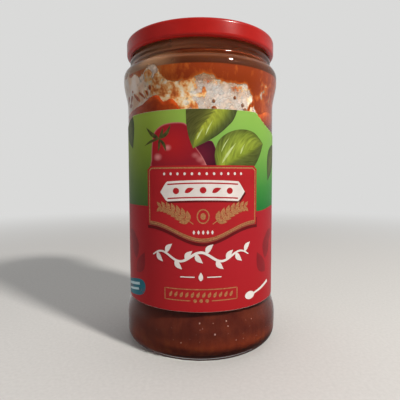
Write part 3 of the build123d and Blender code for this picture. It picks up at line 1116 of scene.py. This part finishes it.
def blob_net(centre, outline, rings=12, sides=72):
    """Net of a free shape round its centre: along is 0 there and 1 at the edge, local runs from -1 to 1."""
    edge = smooth_path(outline, sides, True)
    half_u = max(abs(u - centre[0]) for u, _ in edge)
    half_z = max(abs(z - centre[1]) for _, z in edge)
    spots = [centre]
    along = [0.0]
    local = [(0.0, 0.0, 0.0)]
    for ring in range(1, rings + 1):
        share = ring / rings
        for u, z in edge:
            du = (u - centre[0]) * share
            dz = (z - centre[1]) * share
            spots.append((centre[0] + du, centre[1] + dz))
            along.append(share)
            local.append((du / half_u, dz / half_z, 0.0))
    faces = [(0, 1 + side, 1 + (side + 1) % sides) for side in range(sides)]
    for ring in range(rings - 1):
        for side in range(sides):
            after = (side + 1) % sides
            low = 1 + ring * sides
            faces.append((low + side, low + sides + side, low + sides + after, low + after))
    return {"spots": spots, "faces": faces, "along": along, "local": local}


def blade_net(one_edge, midrib, other_edge, steps=30, lanes=8):
    """Net of a leaf drawn by its two edges and its midrib, each from the base to the tip."""
    paths = [smooth_path(path, steps + 1) for path in (one_edge, midrib, other_edge)]
    spots = []
    along = []
    across = []
    for i in range(steps + 1):
        edge, rib, far_edge = (path[i] for path in paths)
        for j in range(2 * lanes + 1):
            lane = j / lanes - 1
            side = edge if lane < 0 else far_edge
            spots.append((rib[0] + (side[0] - rib[0]) * abs(lane), rib[1] + (side[1] - rib[1]) * abs(lane)))
            along.append(i / steps)
            across.append(lane)
    faces = []
    for i in range(steps):
        for j in range(2 * lanes):
            low = i * (2 * lanes + 1) + j
            faces.append((low, low + 2 * lanes + 1, low + 2 * lanes + 2, low + 1))
    return {"spots": spots, "faces": faces, "along": along, "across": across}


def build_print(name, nets, layer, material):
    """Wraps flat nets round the label as thin closed sheets. Points above the paper's edge are cut to it."""
    points = []
    faces = []
    unrolled = []
    values = {"along": [], "across": []}
    local = []
    for order, net in enumerate(nets):
        high = LABEL_RADIUS + LAYER * layer + 0.0006 * (order % 12)
        low = high - LAYER * 0.9
        first = len(points)
        spots = [(u, min(z, paper_top(u))) for u, z in net["spots"]]
        count = len(spots)
        for radius in (high, low):
            points += [wrap(u, z, radius) for u, z in spots]
            unrolled += [(u, z, 0.0) for u, z in spots]
            values["along"] += net.get("along", [0.0] * count)
            values["across"] += net.get("across", [0.0] * count)
            local += net.get("local", [(0.0, 0.0, 0.0)] * count)
        edges = {}
        for face in net["faces"]:
            span = [spots[k] for k in face]
            area = sum(a[0] * b[1] - b[0] * a[1] for a, b in zip(span, span[1:] + span[:1])) / 2
            if abs(area) < 1e-6:
                continue
            ring = list(face) if area > 0 else list(face)[::-1]
            faces.append([first + k for k in ring])
            faces.append([first + count + k for k in ring[::-1]])
            for a, b in zip(ring, ring[1:] + ring[:1]):
                if (b, a) in edges:
                    del edges[b, a]
                else:
                    edges[a, b] = True
        for a, b in edges:
            faces.append([first + b, first + a, first + count + a, first + count + b])
    return add_piece(name, points, faces, [material], values,
                     {"unrolled": unrolled, "local": local}, crisp=True)


def colour_border(u):
    """Height at which the green field meets the red one."""
    return 66.3 - 2.6 * smooth_step((u + 22) / 44) + 1.6 * smooth_step((u - 27) / 16)


PLAQUE_LEFT = -24.4
PLAQUE_RIGHT = 26.4
PLAQUE_HEAD = 83.4
PLAQUE_SIDE = 58.2
PLAQUE_FOOT = 51.6
PLAQUE_MIDDLE = (PLAQUE_LEFT + PLAQUE_RIGHT) / 2
NOTCH = 1.3                 # radius of the quarter-round notches in the plaque's top corners


def plaque_upper(u, inset=0.0):
    """The head of the plaque is level, with a quarter-round notch at each corner."""
    edge = min(u - PLAQUE_LEFT, PLAQUE_RIGHT - u)
    radius = NOTCH + inset
    drop = math.sqrt(max(0.0, radius * radius - edge * edge)) if edge < radius else 0.0
    return PLAQUE_HEAD - max(drop, inset)


def plaque_lower(u, inset=0.0):
    """The foot of the plaque is level at the sides and swells down to a rounded tip in the middle."""
    half = (PLAQUE_RIGHT - PLAQUE_LEFT) / 2
    share = min(1.0, abs(u - PLAQUE_MIDDLE) / half)
    return PLAQUE_SIDE - (PLAQUE_SIDE - PLAQUE_FOOT) * math.cos(math.pi / 2 * share) ** 2.6 + inset


def plaque_outline(inset):
    """Path all round the plaque at an even distance inside its edge."""
    left = PLAQUE_LEFT + inset
    right = PLAQUE_RIGHT - inset
    steps = 60
    along = [left + (right - left) * k / steps for k in range(steps + 1)]
    upper = [(u, plaque_upper(u, inset)) for u in along]
    lower = [(u, plaque_lower(u, inset)) for u in along]
    return upper + lower[::-1] + upper[:1]


def spray(foot, reach, rise, leaves, leaf_length, mirror=1):
    """Nets of a bowed twig with leaves in pairs, for a wreath-like ornament."""
    nets = []
    stem = []
    for k in range(13):
        share = k / 12
        stem.append((foot[0] + mirror * reach * share, foot[1] + rise * math.sin(math.pi / 2 * share)))
    nets.append(line_net(stem, 0.4))
    for k in range(leaves):
        share = 0.12 + 0.85 * k / (leaves - 1)
        spot = (foot[0] + mirror * reach * share, foot[1] + rise * math.sin(math.pi / 2 * share))
        slope = math.atan2(rise * math.cos(math.pi / 2 * share) * math.pi / 2, reach)
        size = leaf_length * (1.0 - 0.35 * share)
        for lift in (0.75, -0.75):
            turn = slope + lift
            tip = (spot[0] + mirror * size * math.cos(turn), spot[1] + size * math.sin(turn))
            nets.append(leaf_net(spot, tip, size * 0.24, 0.0, 8, 2))
    return nets


def lay_fields():
    """The green and the red field, with leaves in tone at their sides."""
    green = blended_ink("offset_green_blend",
                        [(0.0, "#3C5A2A"), (0.3, "#566F2C"), (0.62, "#74892F"), (1.0, "#8AA03C")],
                        [(0.0, "#1E6E30"), (0.25, "#3C8238"), (0.6, "#6FA046"), (1.0, "#86B04E")], 65, 104)
    red = blended_ink("offset_red_blend", [(0.0, "#A31A20"), (0.5, "#A01D24"), (1.0, "#9C1C24")],
                      [(0.0, "#A31A20"), (0.5, "#A51D26"), (1.0, "#A01C26")], 23, 64)
    seam = SEAM_HALF
    build_print("print_green_field",
                [field_net(-seam, seam, lambda u: colour_border(u) - 0.3, paper_top)], 1, green)
    build_print("print_red_field",
                [field_net(-seam, seam, lambda u: LABEL_FOOT + EDGE_MARGIN, colour_border)], 2, red)

    shadow_leaf = flat_ink("offset_dark_red_tint", "#7C1A22", "#8A2026")
    sprigs = []
    for side in (-1, 1):
        for step in range(4):
            base_u = side * (34 + 19 * step)
            for dz, turn, size in ((44, 70, 13), (38, 128, 11), (50, 30, 10)):
                lean = math.radians(90 + side * (turn - 90))
                tip = (base_u + size * math.cos(lean), dz + size * math.sin(lean) * 0.9)
                sprigs.append(leaf_net((base_u, dz - 2), tip, size * 0.27, side * 0.8, 14, 6))
    build_print("print_tint_leaves", sprigs, 3, shadow_leaf)
    dark_leaf = leaf_ink("offset_dark_leaf", [(0.0, "#3E4A2A"), (0.5, "#5C6434"), (1.0, "#3A4428")],
                         "#33402A")
    dark = [leaf_net((-46.5, 108), (-36.6, 91.5), 6.0, 1.5, 18, 8),
            leaf_net((47.0, 93.5), (36.4, 77.0), 5.0, -1.5, 18, 8),
            leaf_net((-62.0, 92.0), (-52.0, 74.0), 6.5, 1.5, 18, 8),
            leaf_net((66.0, 92.0), (76.0, 73.0), 6.5, 1.5, 18, 8)]
    build_print("print_dark_leaves", dark, 3, dark_leaf)


def lay_pictures():
    """Two tomatoes with their stalk, and two basil leaves with their glints."""
    rear_tomato = tomato_ink("offset_shaded_tomato", "#3E1022", "#641A2C", "#8A3C56", 0.4,
                             [(-0.6, -0.3, 0.5, 0.5)])
    front_tomato = tomato_ink("offset_bright_tomato", "#841A26", "#A81C20", "#D68A88", 0.5,
                              [(-0.25, 0.02, 0.17, 0.75), (-0.6, -0.34, 0.2, 0.8), (0.62, -0.3, 0.16, 0.35),
                               (0.78, -0.45, 0.2, 0.45), (0.93, -0.66, 0.2, 0.4)])
    build_print("print_rear_tomato",
                [blob_net((1.0, 86.0), [(-6, 92), (0.2, 92.2), (4.3, 93.3), (6.2, 90), (7.0, 86), (7.0, 81.5),
                                        (-6, 81.5)], 10, 60)], 3, rear_tomato)
    build_print("print_front_tomato",
                [blob_net((-10.5, 90.5), [(-21.9, 82.6), (-22.1, 86), (-21.9, 90.2), (-21.4, 94.2),
                                          (-20.2, 97.5), (-17.3, 99.6), (-14.4, 100.5), (-10.5, 100.8),
                                          (-6.6, 100.4), (-4.4, 98.2), (-3.4, 94), (-1.8, 90.6), (0.4, 87.4),
                                          (2.2, 84), (2.8, 81.4), (-3, 81.4), (-12, 81.4)], 16, 96)], 4,
                front_tomato)
    calyx = flat_ink("offset_stalk_green", "#33351E", "#5A5628", 2.0)
    star = []
    for tip, half, bend in (((-25.0, 99.6), 0.85, 0.5), ((-26.4, 91.8), 0.55, -0.5),
                            ((-12.4, 100.2), 0.8, -1.1), ((-21.6, 97.4), 0.7, 0.2),
                            ((-14.6, 89.2), 0.7, 0.7), ((-18.4, 89.2), 0.6, 0.3),
                            ((-16.0, 99.0), 0.7, -0.4)):
        star.append(leaf_net((-17.9, 94.4), tip, half, bend, 10, 2))
    build_print("print_stalk", star, 5, calyx)
    upper_leaf = leaf_ink("offset_upper_basil_leaf",
                          [(0.0, "#4C4C26"), (0.3, "#525326"), (0.46, "#666A2A"), (0.52, "#98A036"),
                           (0.7, "#84902E"), (0.86, "#525C26"), (1.0, "#3C4424")], "#6A7A30")
    right_leaf = leaf_ink("offset_right_basil_leaf",
                          [(0.0, "#545E26"), (0.14, "#70802C"), (0.32, "#8A9A36"), (0.5, "#7C8C2C"),
                           (0.62, "#565F28"), (1.0, "#424C24")], "#4A5426")
    build_print("print_upper_leaf",
                [blade_net([(-5.9, 107.0), (-5.8, 102.4), (-5.6, 99.6), (-4.7, 94.8), (-3.0, 90.2)],
                           [(7.4, 107.0), (3.5, 102.3), (0.7, 99.1), (-2.0, 94.3), (-3.0, 90.2)],
                           [(16.4, 108.0), (14.3, 102.7), (11.9, 99.7), (5.9, 94.8), (-3.0, 90.2)])], 6,
                upper_leaf)
    build_print("print_right_leaf",
                [blade_net([(7.4, 80.0), (6.0, 85.0), (5.9, 88.7), (7.6, 93.6), (12.3, 97.0), (18.5, 98.3),
                            (25.0, 97.2), (31.2, 93.0)],
                           [(8.4, 80.0), (10.4, 83.6), (14.2, 86.0), (19.6, 88.8), (25.5, 91.2),
                            (31.2, 93.0)],
                           [(9.4, 80.0), (17.0, 80.0), (24.0, 82.4), (28.4, 87.4), (31.2, 93.0)])], 6,
                right_leaf)
    glint = flat_ink("offset_leaf_glint", "#A6B668", "#C0CE8E", 3.0)
    build_print("print_leaf_glints",
                [leaf_net((8.8, 84.2), (15.0, 92.6), 0.5, 0.25, 12, 2),
                 leaf_net((17.2, 88.0), (19.4, 92.4), 0.35, 0.2, 10, 2),
                 leaf_net((8.4, 88.6), (12.0, 94.6), 0.2, 0.3, 10, 2),
                 leaf_net((-1.6, 93.6), (1.4, 98.6), 0.3, 0.2, 10, 2),
                 leaf_net((2.0, 95.4), (5.0, 101.4), 0.25, 0.2, 10, 2)], 7, glint)


def lay_plaque(gold, plaque_red, plaque_shadow):
    """The plaque with its shadow, its gold line and copper foot, and a gold wreath on it."""
    build_print("print_plaque_shadow",
                [field_net(PLAQUE_LEFT - 0.2, PLAQUE_RIGHT + 0.5, lambda u: plaque_lower(u) - 1.3,
                           lambda u: plaque_lower(u) + 3.0)], 8, plaque_shadow)
    build_print("print_plaque", [field_net(PLAQUE_LEFT, PLAQUE_RIGHT, plaque_lower, plaque_upper, 0.4)], 9,
                plaque_red)
    copper = powder_ink("printed_copper_powder_ink", "#7E3828", "#A05A44")
    foot_line = [(u / 2, plaque_lower(u / 2, 0.9)) for u in range(-47, 52)]
    upper_foot_line = [(u / 2, plaque_lower(u / 2, 1.7)) for u in range(-46, 51)]
    build_print("print_plaque_gold",
                [line_net(plaque_outline(1.0), 0.55), line_net(upper_foot_line, 0.4)], 11, gold)
    build_print("print_plaque_foot", [line_net(foot_line, 1.5)], 10, copper)
    middle = PLAQUE_MIDDLE
    ornament = spray((middle - 4.0, 59.4), 14.6, 6.8, 7, 4.6, -1)
    ornament += spray((middle + 4.0, 59.4), 14.6, 6.8, 7, 4.6, 1)
    ring = [(middle + 2.4 * math.cos(k * math.pi / 16), 62.6 + 2.8 * math.sin(k * math.pi / 16))
            for k in range(33)]
    ornament.append(line_net(ring, 0.5))
    ornament.append(round_net((middle, 62.6), 1.1, 1.4, 2.0, 3, 20))
    build_print("print_gold_wreath", ornament, 11, gold)


def lay_white_marks(plaque_red, plaque_shadow):
    """A banner with a row of spots and leaves left open in it, dots, a vine, a spoon and small marks."""
    middle = PLAQUE_MIDDLE
    white = flat_ink("offset_opaque_white", "#D3CBC6", "#E0D9D4", 5.0)

    def banner_half(u):
        """Half height of the banner, which is pointed at its two ends."""
        end = 18.4 - abs(u - middle)
        return 4.1 * min(1.0, 0.02 + end / 3.0) if end < 3.0 else 4.1

    def banner_curve(u):
        """Height of the banner's middle line."""
        return 73.3 - 0.0025 * (u - middle) ** 2

    banner = [field_net(middle - 18.4, middle + 18.4, lambda u: banner_curve(u) - banner_half(u),
                        lambda u: banner_curve(u) + banner_half(u), 0.8)]
    banner_shadow = [field_net(middle - 17.8, middle + 19.0,
                               lambda u: banner_curve(u - 0.6) - banner_half(u - 0.6) - 0.8,
                               lambda u: banner_curve(u - 0.6) + banner_half(u - 0.6) - 0.8, 0.8)]
    build_print("print_banner_shadow", banner_shadow, 10, plaque_shadow)
    dots = [round_net((middle - 16.5 + 3.0 * k, 80.0), 0.5, 0.6, 2.0, 2, 14) for k in range(12)]
    small = [round_net((middle + 1.9 * k, 56.0), 0.5, 0.9, 1.3, 2, 12) for k in (-2, -1, 0, 1, 2)]
    vine_path = [(-21.6 + 43.2 * k / 96, 45.8 + 1.9 * math.sin(math.tau * 2.5 * k / 96)) for k in range(97)]
    vine = [line_net(vine_path, lambda share: 0.35 + 0.75 * math.sin(math.pi * share) ** 0.5)]
    for k in range(10):
        share = (k + 0.5) / 10
        up = 1 if k % 2 else -1
        spot = (-21.6 + 43.2 * share, 45.8 + 1.9 * math.sin(math.tau * 2.5 * share))
        vine.append(leaf_net(spot, (spot[0] + 3.0, spot[1] + up * 3.9), 1.1, up * 0.5, 10, 2))
    underline = [line_net([(-8.6, 37.4), (-2.6, 37.4)], 0.45), line_net([(2.6, 37.4), (8.6, 37.4)], 0.45),
                 leaf_net((0.0, 35.7), (0.0, 39.4), 0.95, 0.0, 8, 2)]
    spoon = [round_net((22.6, 27.6), 2.7, 1.75, 2.0, 4, 24),
             line_net([(25.0, 28.0), (30.5, 29.4), (36.4, 31.2)], lambda share: 0.8 + 0.7 * share)]
    build_print("print_white", banner + dots + small + vine + underline + spoon, 12, white)
    banner_line = [line_net([(u, banner_curve(u) + side * 2.9) for u in range(-14, 18, 2)], 0.55)
                   for side in (-1, 1)]
    banner_spots = []
    for k in range(5):
        centre = middle - 11.2 + 5.6 * k
        middle_line = banner_curve(centre)
        if k % 2:
            banner_spots.append(leaf_net((centre - 1.9, middle_line - 0.9), (centre + 1.9, middle_line + 0.9),
                                         0.95, 0.2, 10, 4))
        else:
            banner_spots.append(round_net((centre, middle_line), 1.35, 1.3, 2.0, 4, 24))
    build_print("print_banner_lines", banner_line + banner_spots, 14, plaque_red)


def lay_lower_marks(gold):
    """A gold box with a row of leaf marks and three dots in its lower line, and a teal tag with two bars."""
    box = [line_net([(-4.4, 27.4), (-15.7, 27.4), (-15.7, 32.2), (15.8, 32.2), (15.8, 27.4),
                     (4.6, 27.4)], 0.42)]
    marks = []
    for k in range(12):
        centre = -12.9 + 2.36 * k
        marks.append(leaf_net((centre - 0.55, 28.7), (centre + 0.55, 31.1), 0.62, 0.0, 8, 2))
    dots = [round_net((0.1 + 2.5 * k, 27.4), 0.75, 0.75, 2.0, 3, 18) for k in (-1, 0, 1)]
    build_print("print_gold_box", box + marks + dots, 3, gold)

    teal = flat_ink("offset_teal", "#1C5F70", "#22707F")
    tag = [blob_net((-38.0, 28.4), [(-50, 23.2), (-46, 23.4), (-36.8, 24.7), (-30.5, 26.0), (-27.6, 28.0),
                                    (-26.9, 30.3), (-27.6, 32.3), (-30.3, 33.2), (-36.5, 32.3), (-46, 30.0),
                                    (-50, 29.2)], 6, 60)]
    build_print("print_teal_tag", tag, 3, teal)
    pale = flat_ink("offset_pale_blue", "#A9C4CB", "#BCD2D6")
    build_print("print_tag_marks", [line_net([(-46.0, 28.2), (-31.4, 31.0)], 1.2),
                                    line_net([(-45.0, 25.8), (-32.4, 28.4)], 1.0)], 4, pale)


def lay_back(gold):
    """Two blank cream panels with a gold frame and bare rules."""
    cream = flat_ink("offset_cream_panel", "#D8CDB2", "#E2D8C0")
    ruled = flat_ink("offset_rule_brown", "#6B5A4A", "#7A6857")
    panels = [field_net(62, 103, lambda u: 29.0, lambda u: 84.0),
              field_net(-103, -62, lambda u: 29.0, lambda u: 58.0)]
    build_print("print_cream_panels", panels, 4, cream)
    frames = []
    rules = []
    for left, right, low, high in ((62, 103, 29.0, 84.0), (-103, -62, 29.0, 58.0)):
        frames.append(line_net([(left + 1, low + 1), (right - 1, low + 1), (right - 1, high - 1),
                                (left + 1, high - 1), (left + 1, low + 0.6)], 0.5))
        count = int((high - low - 8) / 4.5)
        for k in range(count):
            height = high - 6 - 4.5 * k
            rules.append(line_net([(left + 4, height), (right - 4, height)], 0.22))
    build_print("print_panel_frames", frames, 5, gold)
    build_print("print_panel_rules", rules, 5, ruled)


def build_label_print():
    """All the inks of the label."""
    gold = powder_ink("printed_bronze_powder_ink", "#9A5E36", "#CC9260")
    plaque_red = flat_ink("offset_plaque_red", "#A01C22", "#AC2026", 16.0)
    plaque_shadow = flat_ink("offset_plaque_shadow", "#5A1216", "#651418")
    lay_fields()
    lay_pictures()
    lay_plaque(gold, plaque_red, plaque_shadow)
    lay_white_marks(plaque_red, plaque_shadow)
    lay_lower_marks(gold)
    lay_back(gold)


# ---------------------------------------------------------------- stage, lamps and camera

VIEW_GREY = "#DADAD9"
ROOM_STRENGTH = 0.23


def backdrop_light(tree, kind, toward):
    """The backdrop's grey, and the share of the rays that see it. toward is a direction away from the jar.

    Reflections see the backdrop behind the jar and a dimmer room in front of it, as in a studio that is
    open at the front, so that the glass does not veil the sauce.
    """
    rays = add_node(tree, "ShaderNodeLightPath")
    axes = add_node(tree, "ShaderNodeSeparateXYZ", {}, {"Vector": toward})
    open_side = add_node(tree, "ShaderNodeMapRange", {"From Min": -0.4, "From Max": 0.7, "To Min": 0.86,
                                                      "To Max": 0.35, "interpolation_type": "SMOOTHSTEP"},
                         {"Value": axes.outputs["Y"]})
    dimming = add_node(tree, "ShaderNodeMath", {"operation": "MULTIPLY"},
                       {0: open_side.outputs[0], 1: rays.outputs["Is Glossy Ray"]})
    strength = add_node(tree, "ShaderNodeMath", {"operation": "SUBTRACT", 0: 1.0}, {1: dimming.outputs[0]})
    light = add_node(tree, kind, {"Color": colour(VIEW_GREY)}, {"Strength": strength.outputs[0]})
    seen = add_node(tree, "ShaderNodeMath", {"operation": "ADD"},
                    {0: rays.outputs["Is Camera Ray"], 1: rays.outputs["Is Glossy Ray"]})
    seen_through = add_node(tree, "ShaderNodeMath", {"operation": "ADD", "use_clamp": True},
                            {0: seen.outputs[0], 1: rays.outputs["Is Transmission Ray"]})
    return light, seen_through


def build_stage():
    """A pale floor that fades into the backdrop's grey, with no line between them."""
    mesh = bpy.data.meshes.new("floor")
    half = 3.0
    mesh.from_pydata([(-half, -half, 0), (half, -half, 0), (half, half, 0), (-half, half, 0)], [],
                     [(0, 1, 2, 3)])
    floor = bpy.data.objects.new("floor", mesh)
    bpy.context.scene.collection.objects.link(floor)
    material, tree = new_material("matt_pale_board")
    place = add_node(tree, "ShaderNodeTexCoord")
    tooth = add_node(tree, "ShaderNodeTexNoise", {"Scale": per_mm(1.5), "Detail": 4.0},
                     {"Vector": place.outputs["Object"]})
    board = add_node(tree, "ShaderNodeValToRGB",
                     {"stops": [(0.3, colour("#CBCAC8")), (0.7, colour("#D2D1CF"))]},
                     {"Fac": tooth.outputs["Fac"]})
    matt = add_node(tree, "ShaderNodeBsdfDiffuse", {}, {"Color": board.outputs["Color"]})
    toward = add_node(tree, "ShaderNodeVectorMath", {"operation": "NORMALIZE"}, {0: place.outputs["Object"]})
    light, seen = backdrop_light(tree, "ShaderNodeEmission", toward.outputs["Vector"])
    distance = add_node(tree, "ShaderNodeVectorMath", {"operation": "LENGTH"},
                        {0: place.outputs["Object"]})
    far = add_node(tree, "ShaderNodeMapRange", {"From Min": 0.16, "From Max": 0.7,
                                                "interpolation_type": "SMOOTHSTEP"},
                   {"Value": distance.outputs["Value"]})
    rays = add_node(tree, "ShaderNodeLightPath")
    anywhere = add_node(tree, "ShaderNodeMath", {"operation": "MAXIMUM"},
                        {0: far.outputs[0], 1: rays.outputs["Is Glossy Ray"]})
    share = add_node(tree, "ShaderNodeMath", {"operation": "MULTIPLY"},
                     {0: anywhere.outputs[0], 1: seen.outputs[0]})
    mix = add_node(tree, "ShaderNodeMixShader", {},
                   {0: share.outputs[0], 1: matt.outputs[0], 2: light.outputs[0]})
    add_node(tree, "ShaderNodeOutputMaterial", {}, {"Surface": mix.outputs[0]})
    mesh.materials.append(material)


def build_world():
    """An even pale room that lights the jar, with the backdrop's grey wherever it is seen."""
    world = bpy.data.worlds.new("studio")
    world.use_nodes = True
    bpy.context.scene.world = world
    tree = world.node_tree
    tree.nodes.clear()
    sky = add_node(tree, "ShaderNodeTexCoord")
    room = add_node(tree, "ShaderNodeBackground", {"Color": colour("#F4F2EF"), "Strength": ROOM_STRENGTH})
    light, seen = backdrop_light(tree, "ShaderNodeBackground", sky.outputs["Generated"])
    mix = add_node(tree, "ShaderNodeMixShader", {},
                   {0: seen.outputs[0], 1: room.outputs[0], 2: light.outputs[0]})
    add_node(tree, "ShaderNodeOutputWorld", {}, {"Surface": mix.outputs[0]})


def add_lamp(name, spot, aim, size, power, tint, mirrored):
    """A round area lamp turned to its aim. mirrored says whether reflections show it."""
    lamp = bpy.data.lights.new(name, "AREA")
    lamp.shape = "DISK"
    lamp.size = size
    lamp.energy = power
    lamp.color = colour(tint)[:3]
    holder = bpy.data.objects.new(name, lamp)
    holder.location = spot
    holder.rotation_euler = (Vector(aim) - Vector(spot)).to_track_quat("-Z", "Y").to_euler()
    holder.visible_glossy = mirrored
    bpy.context.scene.collection.objects.link(holder)


def build_lamps():
    """One key lamp leaves its glint on the glass. The two others are soft and stay out of the reflections."""
    aim = (0.0, 0.0, 0.07)
    add_lamp("key", (0.62, -0.55, 0.72), aim, 0.12, 11.1, "#FFFAF4", True)
    add_lamp("fill", (-0.75, -0.6, 0.35), aim, 0.7, 1.15, "#F6F8FF", False)
    add_lamp("top", (0.0, 0.15, 0.95), aim, 0.6, 2.2, "#FFFFFF", False)


def build_camera():
    """A lens close to the jar at half its height, so that its round edges show as arcs."""
    camera = bpy.data.cameras.new("camera")
    camera.lens = 32.44
    camera.sensor_width = 36.0
    camera.clip_start = 0.005
    holder = bpy.data.objects.new("camera", camera)
    holder.location = (-0.00023, -0.18146, 0.07895)
    holder.rotation_euler = (math.radians(86.24), math.radians(0.17), 0.0)
    bpy.context.scene.collection.objects.link(holder)
    bpy.context.scene.camera = holder


# ---------------------------------------------------------------- assembly

def set_material(node_name, material):
    """Gives one of the frame's own pieces its finish."""
    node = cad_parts[node_name]
    node.data.materials.clear()
    node.data.materials.append(material)


set_material("glass_jar", flint_glass())
set_material("lid", lacquered_tinplate())

build_sauce(sauce_at_glass(), sauce_surface())
COAT_SAUCE = sauce_smear("wiped_tomato_sauce", "#D09450", "#B4561C", "#8E360F", 0.36)
DROP_SAUCE = sauce_smear("brown_sauce_drops", "#A8704A", "#84482A", "#6A331C", 0.4)
build_coat("wiped_coat", coat_depth, (-180, 180), (104.0, 139.6), COAT_SAUCE)
build_coat("drained_film", film_depth, (-84, 76), (103.5, 126.0), oily_film(), 0.035)
build_coat("dried_haze", haze_depth, (-100, 100), (103.5, 126.5), pale_haze(), 0.02)
build_coat("sauce_runs", run_depth(SAUCE_RUNS), (-180, 180), (103.5, 127.0), COAT_SAUCE, 0.065)
build_drops(DROP_SAUCE)
build_flecks()
build_paper(coated_paper())
build_label_print()

build_stage()
build_world()
build_lamps()
build_camera()
bpy.context.scene.view_settings.view_transform = "Standard"
bpy.context.scene.cycles.transparent_max_bounces = 24
bpy.context.scene.cycles.transmission_bounces = 16
bpy.context.scene.cycles.max_bounces = 16
